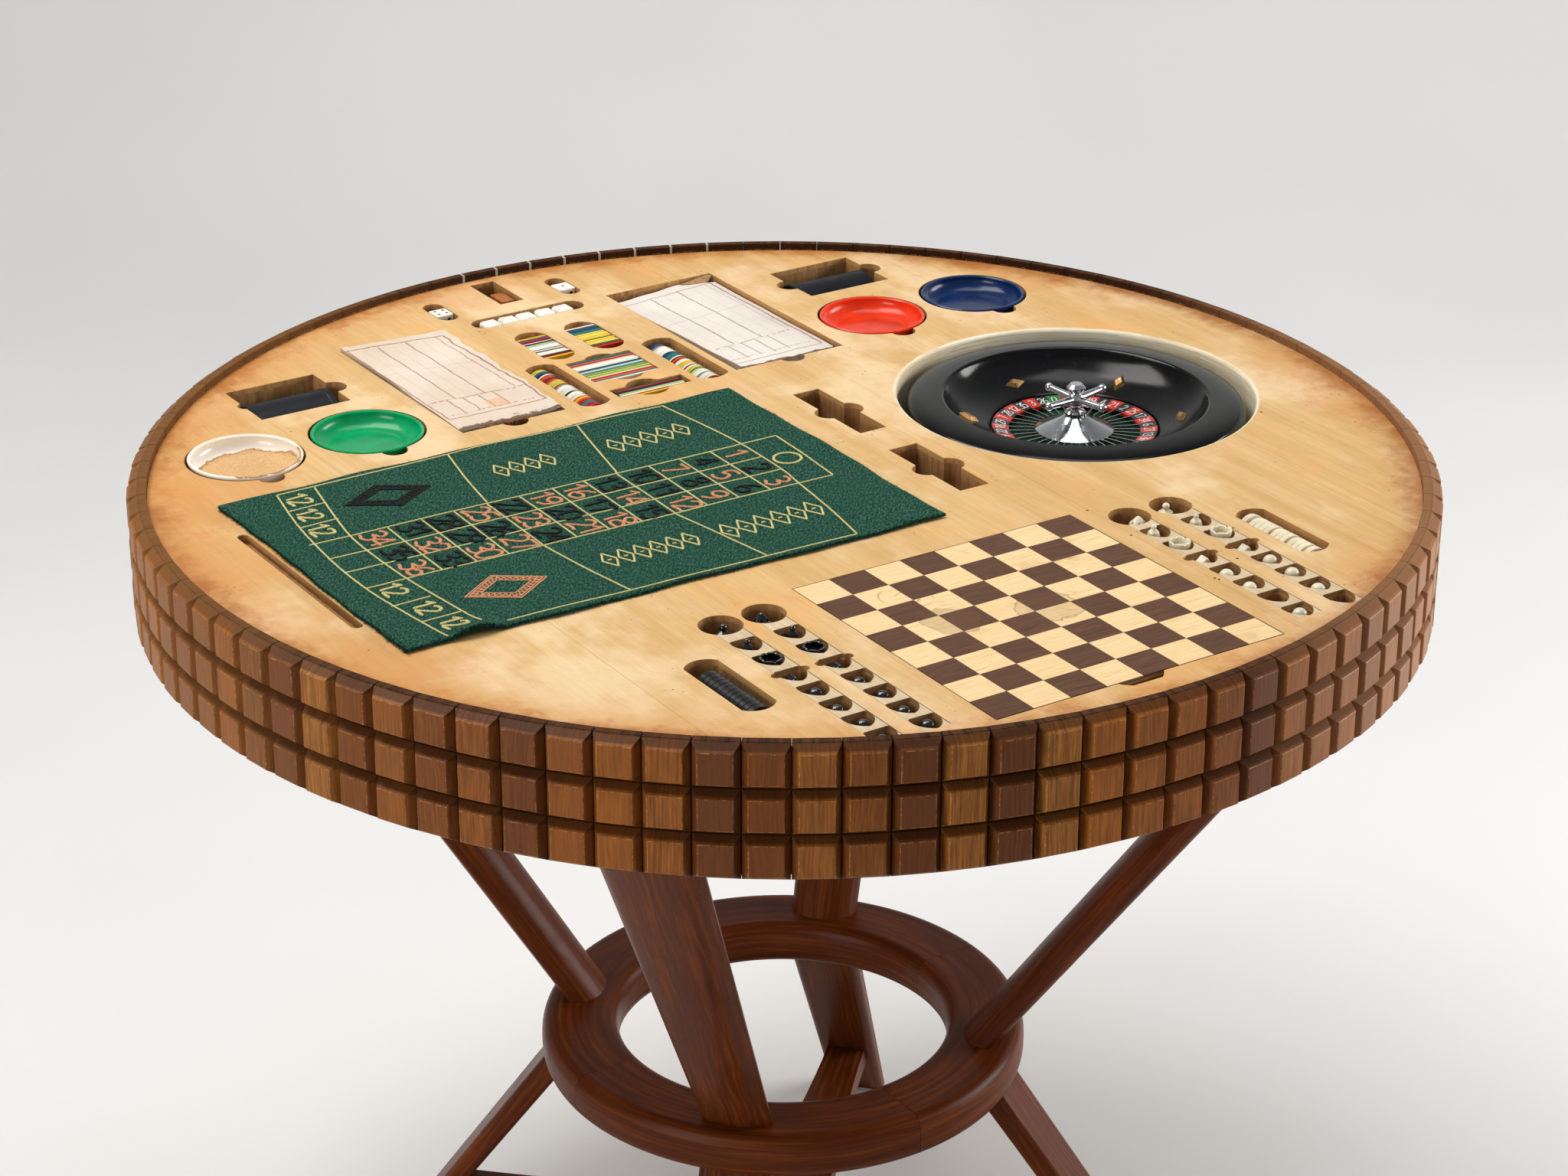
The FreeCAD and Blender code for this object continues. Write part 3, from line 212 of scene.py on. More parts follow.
    def ring(self, cx, cy, r, w):
        """A soft ring stain on the horizontal plane."""
        X, Y, _ = self.xyz()
        d = self.m("SQRT", self.m("ADD", self.m("POWER", self.m("SUBTRACT", X, cx), 2.0), self.m("POWER", self.m("SUBTRACT", Y, cy), 2.0)))
        return self.band(d, r, w * 0.3, w)

    def any(self, *masks):
        o = masks[0]
        for k in masks[1:]:
            o = self.m("MAXIMUM", o, k)
        return o

    def done(self, color=None, rough=None, metal=None, normal=None, **kw):
        b = self.bsdf.inputs
        if color is not None:
            self.put(b["Base Color"], color)
        if rough is not None:
            self.put(b["Roughness"], rough)
        if metal is not None:
            self.put(b["Metallic"], metal)
        if normal is not None:
            self.put(b["Normal"], normal)
        names = {"coat": "Coat Weight", "coat_rough": "Coat Roughness", "sheen": "Sheen Weight", "sheen_rough": "Sheen Roughness",
                 "sheen_tint": "Sheen Tint", "spec": "Specular IOR Level", "sss": "Subsurface Weight", "ior": "IOR", "coat_normal": "Coat Normal"}
        for k, v in kw.items():
            self.put(b[names[k]], v)
        return self.mat


def paint(node, mat):
    o = NODES[node]
    o.data.materials.clear()
    o.data.materials.append(mat)


def mesh_obj(name, verts, faces, mats, body, smooth=True, face_mats=None, replaces=()):
    me = bpy.data.meshes.new(name)
    me.from_pydata([tuple(v) for v in verts], [], [tuple(int(i) for i in f) for f in faces])
    me.update()
    if smooth:
        me.polygons.foreach_set("use_smooth", [True] * len(me.polygons))
    for m_ in (mats if isinstance(mats, (list, tuple)) else [mats]):
        me.materials.append(m_)
    if face_mats is not None:
        me.polygons.foreach_set("material_index", list(face_mats))
    o = bpy.data.objects.new(name, me)
    bpy.context.scene.collection.objects.link(o)
    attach(o, body)
    if replaces:
        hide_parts(*replaces)
    return o


def hash01(*k):
    """A repeatable value from 0 to 1."""
    s = math.sin(sum(a * b for a, b in zip(k, (12.9898, 78.233, 37.719, 91.17)))) * 43758.5453
    return s - math.floor(s)


# =================================================================== materials
def lining(g, c, reach):
    """Pale rubbed lining round the roulette well, with grey scuffs and old cracks."""
    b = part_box("wheel_well")
    cx, cy = (b[0].x + b[1].x) / 2, (b[0].y + b[1].y) / 2
    X, Y, Z = g.xyz()
    dx, dy = g.m("SUBTRACT", X, cx), g.m("SUBTRACT", Y, cy)
    r = g.m("SQRT", g.m("ADD", g.m("MULTIPLY", dx, dx), g.m("MULTIPLY", dy, dy)))
    a = g.m("ARCTAN2", dy, dx)
    lay = g.noise(g.comb(g.m("MULTIPLY", a, 3.0), g.m("MULTIPLY", Z, 700.0), 0.0), 1.0, 4.0, 0.65)
    pale = g.ramp(lay, [(0.3, rgb(214, 196, 156)), (0.6, rgb(246, 237, 214))])
    crack = g.step(g.noise(g.comb(g.m("MULTIPLY", a, 4.0), g.m("MULTIPLY", Z, 900.0), 3.0), 1.0, 2.0), 0.66, 0.72)
    patch = g.step(g.noise(g.comb(g.m("MULTIPLY", a, 2.2), g.m("MULTIPLY", Z, 30.0), 8.0), 1.0, 3.0), 0.42, 0.62)
    pale = g.mix(g.m("MULTIPLY", patch, 0.35), pale, rgb(206, 176, 128))
    pale = g.mix(g.m("MULTIPLY", crack, 0.85), pale, rgb(66, 48, 30))
    soft = g.noise(g.scaled((90.0, 90.0, 90.0)), 1.0, 3.0)
    edge = g.m("ADD", r, g.m("MULTIPLY", g.m("SUBTRACT", soft, 0.5), 0.0022))
    return g.mix(g.step(edge, reach + 0.0012, reach - 0.0006), c, pale)


# ---- the birch facing: fine fibre along Y, broad figure, seams, stain at the rim
def birch(name, walls=True):
    g = Graph(name)
    X, Y, Z = g.xyz()
    warp = g.noise(g.scaled((5.0, 1.6, 5.0)), 1.0, 2.0)
    xw = g.m("ADD", X, g.m("MULTIPLY", warp, 0.012))
    fibre = g.noise(g.comb(g.m("MULTIPLY", xw, 1500.0), g.m("MULTIPLY", Y, 34.0), 0.0), 1.0, 3.0, 0.6)
    streak = g.noise(g.comb(g.m("MULTIPLY", xw, 260.0), g.m("MULTIPLY", Y, 7.0), 0.3), 1.0, 3.0, 0.6)
    figure = g.noise(g.comb(g.m("MULTIPLY", xw, 38.0), g.m("MULTIPLY", Y, 3.2), 0.7), 1.0, 3.0, 0.5, 0.6)
    blotch = g.noise(g.scaled((9.0, 7.0, 1.0)), 1.0, 4.0, 0.6)
    base = g.ramp(figure, [(0.25, rgb(206, 164, 104)), (0.5, rgb(218, 181, 123)), (0.75, rgb(228, 196, 144))])
    base = g.mix(g.lerp(streak, 0.35, 0.75, 0.0, 0.44), base, rgb(196, 148, 92))
    base = g.mix(g.lerp(fibre, 0.42, 0.8, 0.0, 0.42), base, rgb(172, 124, 74))
    base = g.mix(g.m("MULTIPLY", g.step(blotch, 0.54, 0.74), 0.65), base, rgb(226, 168, 100))
    # worn, cleaner patch in front of the cloth, paler
    pale = g.m("MULTIPLY", g.step(blotch, 0.52, 0.36), 0.5)
    base = g.mix(pale, base, rgb(244, 219, 180))
    # stain creeping in from the rim
    r = g.m("SQRT", g.m("ADD", g.m("MULTIPLY", X, X), g.m("MULTIPLY", Y, Y)))
    edge_n = g.noise(g.scaled((16.0, 16.0, 1.0)), 1.0, 4.0, 0.65)
    edge_f = g.noise(g.scaled((85.0, 85.0, 1.0)), 1.0, 5.0, 0.75)
    er = g.m("ADD", g.m("ADD", r, g.m("MULTIPLY", g.m("SUBTRACT", edge_n, 0.5), 0.075)), g.m("MULTIPLY", g.m("SUBTRACT", edge_f, 0.5), 0.045))
    side = g.noise(g.scaled((2.2, 2.2, 1.0)), 1.0, 1.0)
    left = g.step(X, 0.15, -0.42)
    wide = g.m("ADD", g.m("MULTIPLY", left, 0.5), g.m("MULTIPLY", side, 0.6))
    stain = g.m("MULTIPLY", g.step(er, 0.405, 0.476), wide)
    base = g.mix(g.m("MULTIPLY", stain, 0.75), base, rgb(206, 138, 68))
    # blotchy varnish stain at the left edge, round the pale dish and at the right edge
    blob_n = g.noise(g.scaled((48.0, 48.0, 1.0)), 1.0, 6.0, 0.8)
    for bx_, by_, br_, amt in ((-0.395, 0.165, 0.085, 0.75), (-0.43, 0.06, 0.07, 0.6), (-0.33, 0.31, 0.06, 0.45), (-0.42, -0.17, 0.07, 0.7),
                               (0.465, -0.06, 0.06, 0.7), (0.455, -0.14, 0.06, 0.7), (0.40, 0.235, 0.05, 0.6), (0.25, -0.40, 0.05, 0.5), (-0.03, 0.452, 0.06, 0.5)):
        q = g.m("SQRT", g.m("ADD", g.m("POWER", g.m("SUBTRACT", X, bx_), 2.0), g.m("POWER", g.m("SUBTRACT", Y, by_), 2.0)))
        q = g.m("ADD", q, g.m("MULTIPLY", g.m("SUBTRACT", blob_n, 0.5), br_ * 1.7))
        base = g.mix(g.m("MULTIPLY", g.step(q, br_, br_ * 0.45), amt * 0.62), base, rgb(205, 138, 72))
    tight = g.m("MULTIPLY", g.step(er, 0.448, 0.484), 0.85)
    base = g.mix(tight, base, rgb(168, 98, 42))
    # rubbed-in dirt specks and short scratches
    spk = g.voro(g.scaled((150.0, 150.0, 1.0)), 1.0)
    rare = g.step(g.noise(g.scaled((40.0, 40.0, 1.0)), 1.0, 2.0), 0.56, 0.66)
    base = g.mix(g.m("MULTIPLY", g.step(spk, 0.16, 0.06), g.m("MULTIPLY", rare, 0.9)), base, rgb(92, 54, 26))
    scr = g.noise(g.comb(g.m("MULTIPLY", g.m("ADD", X, g.m("MULTIPLY", Y, 0.6)), 900.0), g.m("MULTIPLY", g.m("SUBTRACT", Y, g.m("MULTIPLY", X, 0.6)), 26.0), 2.0), 1.0, 1.0)
    scr = g.step(scr, 0.70, 0.77)
    base = g.mix(g.m("MULTIPLY", scr, 0.42), base, rgb(150, 104, 62))
    # shadow gap at the near and right sides of the chessboard
    q0, q1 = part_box("board_base")
    near = g.m("MULTIPLY", g.band(Y, q0.y - 0.0005, 0.0004, 0.0003), g.m("MULTIPLY", g.step(X, q0.x, q0.x + 0.001), g.step(X, q1.x + 0.001, q1.x)))
    side_ = g.m("MULTIPLY", g.band(X, q1.x + 0.0005, 0.0004, 0.0003), g.m("MULTIPLY", g.step(Y, q0.y, q0.y + 0.001), g.step(Y, q1.y + 0.001, q1.y)))
    base = g.mix(g.m("MULTIPLY", g.any(near, side_), 0.8), base, rgb(52, 32, 18))
    # veneer seams
    mott = g.noise(g.scaled((55.0, 40.0, 1.0)), 1.0, 5.0, 0.7)
    base = g.mix(g.lerp(mott, 0.5, 0.78, 0.0, 0.32), base, rgb(198, 144, 84))
    seams = g.any(*[g.band(X, c, 0.00015, 0.0002) for c in (-0.2925, 0.1335, 0.318)])
    base = g.mix(g.m("MULTIPLY", seams, 0.38), base, rgb(120, 76, 40))
    if walls:
        wall = g.step(g.m("ABSOLUTE", g.nrm()[2]), 0.5, 0.2)
        wall_c = g.mix(g.lerp(streak, 0.3, 0.7, 0, 1), rgb(200, 154, 100), rgb(156, 110, 64))
        base = g.mix(wall, base, wall_c)
    base = lining(g, base, 0.1432)
    h = g.m("ADD", g.m("MULTIPLY", fibre, 0.5), g.m("MULTIPLY", streak, 0.5))
    n = g.bump(g.m("SUBTRACT", h, g.m("MULTIPLY", g.any(scr, seams), 0.6)), 0.00012, 0.5)
    rough = g.lerp(blotch, 0.3, 0.7, 0.36, 0.5)
    return g.done(base, rough, 0.0, n, spec=0.16)


def pocket_wood(name, light, dark, along="z"):
    """Plainer timber on pocket walls and floors, with painted shade darkening it deeper down."""
    g = Graph(name)
    X, Y, Z = g.xyz()
    s = (420.0, 420.0, 30.0) if along == "z" else (30.0, 420.0, 420.0)
    grain = g.noise(g.scaled(s), 1.0, 4.0, 0.6)
    big = g.noise(g.scaled((40.0, 40.0, 60.0)), 1.0, 3.0)
    c = g.ramp(grain, [(0.3, dark), (0.7, light)])
    c = g.mix(g.lerp(big, 0.3, 0.7, 0.0, 0.5), c, tuple(x * 0.62 for x in dark[:3]) + (1,))
    # painted shade: darker the deeper it lies below the top, for the shade inside the pockets
    depth_shade = g.lerp(Z, Z_TOP - 0.045, Z_TOP - 0.008, 0.34, 0.0)
    c = g.mix(depth_shade, c, tuple(x * 0.4 for x in dark[:3]) + (1,))
    c = lining(g, c, 0.1432)
    n = g.bump(grain, 0.0003, 0.5)
    return g.done(c, g.lerp(grain, 0.3, 0.7, 0.55, 0.75), 0.0, n, spec=0.2)


# ---- the carved rim: every stave its own timber, dark in the bevels with painted shade under the bosses and in the grooves, worn on the arrises with a painted highlight, painted paler on the more lit sides
def rim_wood():
    g = Graph("rim_wood")
    X, Y, Z = g.xyz()
    count, pitch = 94.0, 2 * math.pi / 94
    ang = g.m("ADD", g.m("ARCTAN2", Y, X), math.pi)
    idx = g.m("FLOOR", g.m("DIVIDE", ang, pitch))
    w = g.white(idx)
    seed, tone = w["Value"], g.white(g.m("ADD", idx, 37.3))["Value"]
    loc = g.m("MULTIPLY", g.m("SUBTRACT", g.m("SUBTRACT", ang, g.m("MULTIPLY", idx, pitch)), pitch / 2), 0.486)
    rad = g.m("SQRT", g.m("ADD", g.m("MULTIPLY", X, X), g.m("MULTIPLY", Y, Y)))
    row = g.m("FLOOR", g.m("DIVIDE", g.m("SUBTRACT", Z, Z_RIM - 0.099), 0.033))
    lz = g.m("SUBTRACT", g.m("SUBTRACT", Z, Z_RIM - 0.099), g.m("ADD", g.m("MULTIPLY", row, 0.033), 0.0165))
    off = g.m("MULTIPLY", seed, 7.0)
    gx = g.m("ADD", loc, g.m("MULTIPLY", g.noise(g.comb(off, g.m("MULTIPLY", Z, 18.0), 0.0), 1.0, 2.0), 0.006))
    grain = g.noise(g.comb(g.m("MULTIPLY", gx, 620.0), g.m("MULTIPLY", Z, 26.0), off), 1.0, 4.0, 0.65)
    fine = g.noise(g.comb(g.m("MULTIPLY", gx, 2600.0), g.m("MULTIPLY", Z, 90.0), off), 1.0, 2.0, 0.6)
    broad = g.noise(g.comb(g.m("MULTIPLY", loc, 60.0), g.m("MULTIPLY", Z, 30.0), off), 1.0, 3.0, 0.6)
    light = g.ramp(seed, [(0.0, rgb(176, 114, 48)), (0.16, rgb(152, 86, 32)), (0.32, rgb(172, 102, 36)), (0.5, rgb(116, 64, 26)), (0.66, rgb(156, 92, 36)), (0.82, rgb(102, 56, 26)), (1.0, rgb(170, 106, 44))])
    dark = g.ramp(tone, [(0.0, rgb(92, 48, 14)), (0.5, rgb(70, 36, 11)), (1.0, rgb(116, 64, 20))])
    c = g.mix(g.lerp(grain, 0.34, 0.68, 0.1, 0.8), light, dark)
    c = g.mix(g.lerp(broad, 0.42, 0.75, 0.0, 0.35), c, rgb(92, 54, 28))
    c = g.mix(g.lerp(fine, 0.5, 0.8, 0.0, 0.25), c, rgb(66, 38, 20))
    # plateau against the bevels
    plateau = g.step(rad, 0.4858, 0.4876)
    bevel_c = g.mix(0.30, c, rgb(76, 42, 22))
    c = g.mix(plateau, bevel_c, c)
    notp = g.m("SUBTRACT", 1.0, plateau)
    upper_row = g.step(row, 1.2, 1.8)
    tb = g.m("MULTIPLY", g.m("MULTIPLY", g.step(lz, 0.0106, 0.0114), notp), g.lerp(upper_row, 0.0, 1.0, 0.55, 0.55))
    c = g.mix(tb, c, rgb(50, 29, 16))
    # painted shade: the lower bevels, which face down, darkened
    under_bevel_shade = g.m("MULTIPLY", g.m("MULTIPLY", g.step(lz, -0.0106, -0.0114), notp), 0.35)
    c = g.mix(under_bevel_shade, c, rgb(62, 36, 20))
    # painted shade: near-black deep in the grooves between the bosses and between the staves
    groove_shade = g.step(rad, 0.4822, 0.4803)
    c = g.mix(g.m("MULTIPLY", groove_shade, 0.75), c, rgb(24, 13, 8))
    # worn arrises round each plateau with a painted highlight line along them, broken up by noise
    du = g.m("SUBTRACT", g.m("ABSOLUTE", loc), 0.01145)
    dv = g.m("SUBTRACT", g.m("ABSOLUTE", lz), 0.01125)
    d = g.m("MAXIMUM", du, dv)
    wear_n = g.noise(g.comb(g.m("MULTIPLY", loc, 260.0), g.m("MULTIPLY", Z, 260.0), off), 1.0, 4.0, 0.7)
    arris_wear_and_highlight = g.m("MULTIPLY", g.band(d, 0.0, 0.00012, 0.0003), g.step(wear_n, 0.42, 0.62))
    c = g.mix(g.m("MULTIPLY", arris_wear_and_highlight, 0.5), c, rgb(206, 146, 84))
    top = g.m("MULTIPLY", g.step(Z, Z_RIM - 0.0012, Z_RIM - 0.0002), g.step(wear_n, 0.35, 0.6))
    c = g.mix(g.m("MULTIPLY", top, 0.16), c, rgb(160, 98, 52))
    # joints between the staves on the upper edge: dark, with painted light seen through the open joints at the back
    edge_top = g.step(Z, Z_RIM - 0.0016, Z_RIM - 0.0006)
    gap = g.step(g.m("ABSOLUTE", loc), 0.0150, 0.0156)
    c = g.mix(g.m("MULTIPLY", g.m("MULTIPLY", edge_top, gap), 0.8), c, rgb(30, 16, 9))
    see_through_pale = g.m("MULTIPLY", g.m("MULTIPLY", g.step(g.m("ABSOLUTE", loc), 0.0151, 0.0155), g.step(Y, 0.38, 0.40)), g.step(X, -0.03, -0.02))
    c = g.mix(g.m("MULTIPLY", g.m("MULTIPLY", see_through_pale, g.step(X, 0.21, 0.20)), 0.8), c, rgb(206, 198, 184))
    # painted light: the right side, and less so the left, made paler for the stronger light falling there
    turn = g.m("DIVIDE", g.m("SUBTRACT", g.m("MULTIPLY", X, 0.84), g.m("MULTIPLY", Y, 0.55)), rad)
    c = g.mix(g.m("MULTIPLY", g.step(turn, 0.60, 0.96), 0.42), c, rgb(190, 138, 94))
    c = g.mix(g.m("MULTIPLY", g.step(turn, -0.55, -0.95), 0.22), c, rgb(196, 136, 74))
    pits = g.step(g.voro(g.comb(g.m("MULTIPLY", loc, 420.0), g.m("MULTIPLY", Z, 420.0), off), 1.0), 0.12, 0.04)
    pits = g.m("MULTIPLY", pits, g.step(wear_n, 0.5, 0.65))
    c = g.mix(g.m("MULTIPLY", pits, 0.7), c, rgb(28, 15, 8))
    h = g.m("SUBTRACT", g.m("ADD", g.m("MULTIPLY", grain, 0.5), g.m("MULTIPLY", fine, 0.3)), g.m("MULTIPLY", pits, 0.8))
    n = g.bump(h, 0.0004, 0.55)
    rough = g.m("ADD", g.lerp(grain, 0.3, 0.7, 0.34, 0.48), g.m("MULTIPLY", groove_shade, 0.25))
    return g.done(c, rough, 0.0, n, spec=g.lerp(plateau, 0.0, 1.0, 0.10, 0.16))


# ---- stained leg timber, grain running along each member
def leg_wood(name, mode):
    g = Graph(name)
    X, Y, Z = g.xyz()
    ax, ay = g.m("ABSOLUTE", X), g.m("ABSOLUTE", Y)
    rr = g.m("MULTIPLY", g.m("ADD", ax, ay), 0.7071)
    t = g.m("MULTIPLY", g.m("SUBTRACT", ax, ay), 0.7071)
    which = g.m("ADD", g.m("MULTIPLY", g.m("SIGN", X), 3.1), g.m("MULTIPLY", g.m("SIGN", Y), 5.7))
    if mode == "upper":
        s = g.m("ADD", g.m("MULTIPLY", rr, 0.573), g.m("MULTIPLY", Z, 0.82))
        n_ = g.m("SUBTRACT", g.m("MULTIPLY", rr, 0.82), g.m("MULTIPLY", Z, 0.573))
    elif mode == "lower":
        s = g.m("SUBTRACT", g.m("MULTIPLY", rr, 0.573), g.m("MULTIPLY", Z, 0.82))
        n_ = g.m("ADD", g.m("MULTIPLY", rr, 0.82), g.m("MULTIPLY", Z, 0.573))
    elif mode == "ring":
        a = g.m("ARCTAN2", Y, X)
        s = g.m("MULTIPLY", a, 0.163)
        n_ = g.m("SQRT", g.m("ADD", g.m("MULTIPLY", X, X), g.m("MULTIPLY", Y, Y)))
        t = Z
        which = g.m("FLOOR", g.m("DIVIDE", g.m("ADD", a, math.pi), math.pi / 2))
    else:      # stretcher
        s, n_ = g.m("MAXIMUM", rr, g.m("ABSOLUTE", t)), Z
        t = g.m("MINIMUM", rr, g.m("ABSOLUTE", t))
    wob = g.noise(g.comb(g.m("MULTIPLY", s, 6.0), which, g.m("MULTIPLY", t, 20.0)), 1.0, 2.0)
    tn = g.m("ADD", t, g.m("MULTIPLY", wob, 0.010))
    grain = g.noise(g.comb(g.m("MULTIPLY", tn, 300.0), g.m("MULTIPLY", s, 9.0), g.m("ADD", g.m("MULTIPLY", n_, 220.0), which)), 1.0, 4.0, 0.62)
    fine = g.noise(g.comb(g.m("MULTIPLY", tn, 1900.0), g.m("MULTIPLY", s, 60.0), g.m("MULTIPLY", n_, 1500.0)), 1.0, 2.0, 0.6)
    broad = g.noise(g.comb(g.m("MULTIPLY", s, 10.0), which, g.m("MULTIPLY", n_, 20.0)), 1.0, 3.0)
    c = g.ramp(grain, [(0.26, rgb(60, 25, 7)), (0.5, rgb(87, 40, 12)), (0.74, rgb(122, 61, 20))])
    c = g.mix(g.lerp(fine, 0.5, 0.8, 0.0, 0.3), c, rgb(52, 24, 11))
    c = g.mix(g.lerp(broad, 0.35, 0.7, 0.0, 0.45), c, rgb(70, 30, 12))
    flecks = g.step(g.noise(g.comb(g.m("MULTIPLY", t, 900.0), g.m("MULTIPLY", s, 160.0), n_), 1.0, 1.0), 0.70, 0.78)
    c = g.mix(g.m("MULTIPLY", flecks, 0.25), c, rgb(38, 17, 8))
    rub = g.step(g.noise(g.scaled((30.0, 30.0, 30.0)), 1.0, 4.0), 0.55, 0.75)
    rough = g.m("ADD", g.lerp(grain, 0.3, 0.7, 0.30, 0.40), g.m("MULTIPLY", rub, 0.12))
    n = g.bump(g.m("ADD", g.m("MULTIPLY", grain, 0.5), g.m("MULTIPLY", fine, 0.25)), 0.0003, 0.35)
    return g.done(c, rough, 0.0, n, spec=0.09)


TIDE = ((0.010, -0.317), (-0.060, -0.302), (0.152, -0.376))


def veneer(name, light, mid, dark, scale=1.0, stains=False):
    g = Graph(name)
    X, Y, Z = g.xyz()
    cell = g.comb(g.m("FLOOR", g.m("DIVIDE", g.m("SUBTRACT", X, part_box("board_base")[0].x), 0.03)),
                  g.m("FLOOR", g.m("DIVIDE", g.m("SUBTRACT", Y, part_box("board_base")[0].y), 0.03)), 0.0)
    w = g.white(cell)["Value"]
    off = g.m("MULTIPLY", w, 9.0)
    warp = g.m("MULTIPLY", g.noise(g.comb(g.m("MULTIPLY", X, 12.0), g.m("MULTIPLY", Y, 30.0), off), 1.0, 2.0), 0.012)
    grain = g.noise(g.comb(g.m("MULTIPLY", X, 34.0), g.m("MULTIPLY", g.m("ADD", Y, warp), 620.0), off), 1.0, 4.0, 0.6)
    fine = g.noise(g.comb(g.m("MULTIPLY", X, 120.0), g.m("MULTIPLY", Y, 2400.0), off), 1.0, 2.0)
    c = g.ramp(grain, [(0.25, dark), (0.5, mid), (0.75, light)])
    c = g.mix(g.lerp(fine, 0.45, 0.8, 0.0, 0.3), c, dark)
    c = g.mix(g.m("MULTIPLY", w, 0.35), c, g.mix(0.5, dark, mid))
    if stains:
        x0, y0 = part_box("board_base")[0].x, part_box("board_base")[0].y
        rings = g.any(g.ring(x0 + 0.055, y0 + 0.190, 0.0145, 0.0008), g.ring(x0 + 0.062, y0 + 0.182, 0.0135, 0.0006),
                      g.ring(x0 + 0.034, y0 + 0.086, 0.0205, 0.0007), g.ring(x0 + 0.150, y0 + 0.118, 0.0125, 0.0006))
        brk = g.step(g.noise(g.scaled((60.0, 60.0, 1.0)), 1.0, 3.0), 0.42, 0.6)
        c = g.mix(g.m("MULTIPLY", g.m("MULTIPLY", rings, brk), 0.5), c, rgb(140, 100, 62))
        smear = g.step(g.noise(g.scaled((22.0, 22.0, 1.0)), 1.0, 4.0, 0.7), 0.58, 0.75)
        c = g.mix(g.m("MULTIPLY", smear, 0.30), c, rgb(150, 112, 74))
    # old tide marks and a dark smear that run over both colours
    wn = g.noise(g.scaled((48.0, 48.0, 1.0)), 1.0, 4.0, 0.6)
    for (tx, ty), tr, amt in ((TIDE[0], 0.024, 0.20), (TIDE[1], 0.020, 0.30), (TIDE[2], 0.013, 0.16)):
        q = g.m("SQRT", g.m("ADD", g.m("POWER", g.m("SUBTRACT", X, tx), 2.0), g.m("POWER", g.m("SUBTRACT", Y, ty), 2.0)))
        q = g.m("ADD", q, g.m("MULTIPLY", g.m("SUBTRACT", wn, 0.5), 0.022))
        c = g.mix(g.m("MULTIPLY", g.step(q, tr, tr - 0.0012), amt), c, rgb(112, 78, 48))
        c = g.mix(g.m("MULTIPLY", g.band(q, tr, 0.0003, 0.0009), 0.42), c, rgb(92, 60, 34))
    ex = g.m("ABSOLUTE", g.m("SUBTRACT", g.m("FRACT", g.m("DIVIDE", g.m("SUBTRACT", X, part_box("board_base")[0].x), 0.03)), 0.5))
    ey = g.m("ABSOLUTE", g.m("SUBTRACT", g.m("FRACT", g.m("DIVIDE", g.m("SUBTRACT", Y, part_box("board_base")[0].y), 0.03)), 0.5))
    joint = g.step(g.m("MAXIMUM", ex, ey), 0.490, 0.499)
    c = g.mix(g.m("MULTIPLY", joint, 0.55), c, rgb(58, 34, 20))
    n = g.bump(g.m("SUBTRACT", g.m("ADD", grain, g.m("MULTIPLY", fine, 0.5)), joint), 0.00012, 0.5)
    return g.done(c, g.lerp(grain, 0.3, 0.7, 0.40, 0.50), 0.0, n, spec=0.13)


def strip_wood():
    g = Graph("strip_wood")
    X, Y, Z = g.xyz()
    grain = g.noise(g.comb(g.m("MULTIPLY", X, 900.0), g.m("MULTIPLY", Y, 22.0), 0.0), 1.0, 4.0, 0.6)
    c = g.ramp(grain, [(0.3, rgb(196, 172, 136)), (0.7, rgb(222, 202, 168))])
    blot = g.noise(g.scaled((60.0, 60.0, 1.0)), 1.0, 3.0)
    c = g.mix(g.lerp(blot, 0.4, 0.75, 0.0, 0.4), c, rgb(184, 158, 124))
    lines = []
    for cx in STRIP_X:
        lines.append(g.band(X, cx + 0.0104, 0.0003, 0.0002))
        lines.append(g.m("MULTIPLY", g.band(X, cx - 0.0106, 0.00012, 0.0002), 0.5))
    c = g.mix(g.m("MULTIPLY", g.any(*lines), 0.85), c, rgb(62, 42, 28))
    wall = g.step(g.m("ABSOLUTE", g.nrm()[2]), 0.5, 0.2)
    c = g.mix(wall, c, rgb(150, 112, 74))
    n = g.bump(grain, 0.00015, 0.5)
    return g.done(c, 0.5, 0.0, n, spec=0.2)


def plastic(name, col, rough=0.2, speckle=0.0, worn=None, coat=0.4, sss=0.0, mottled=0.06, spec=0.4):
    g = Graph(name)
    big = g.noise(g.scaled((60.0, 60.0, 60.0)), 1.0, 3.0)
    fine = g.noise(g.scaled((900.0, 900.0, 900.0)), 1.0, 2.0)
    dark = tuple(x * (1 - mottled * 3) for x in col[:3]) + (1,)
    lite = tuple(min(1.0, x * (1 + mottled * 2)) for x in col[:3]) + (1,)
    c = g.ramp(big, [(0.3, dark), (0.5, col), (0.72, lite)])
    if worn is not None:
        m_ = g.step(g.noise(g.scaled((220.0, 220.0, 220.0)), 1.0, 4.0, 0.7), 0.62, 0.72)
        c = g.mix(g.m("MULTIPLY", m_, speckle), c, worn)
    n = g.bump(g.m("ADD", fine, g.m("MULTIPLY", big, 2.0)), 0.00008, 0.25)
    return g.done(c, g.lerp(big, 0.3, 0.7, rough * 0.8, rough * 1.3), 0.0, n, coat=coat, coat_rough=0.08, sss=sss, spec=spec)


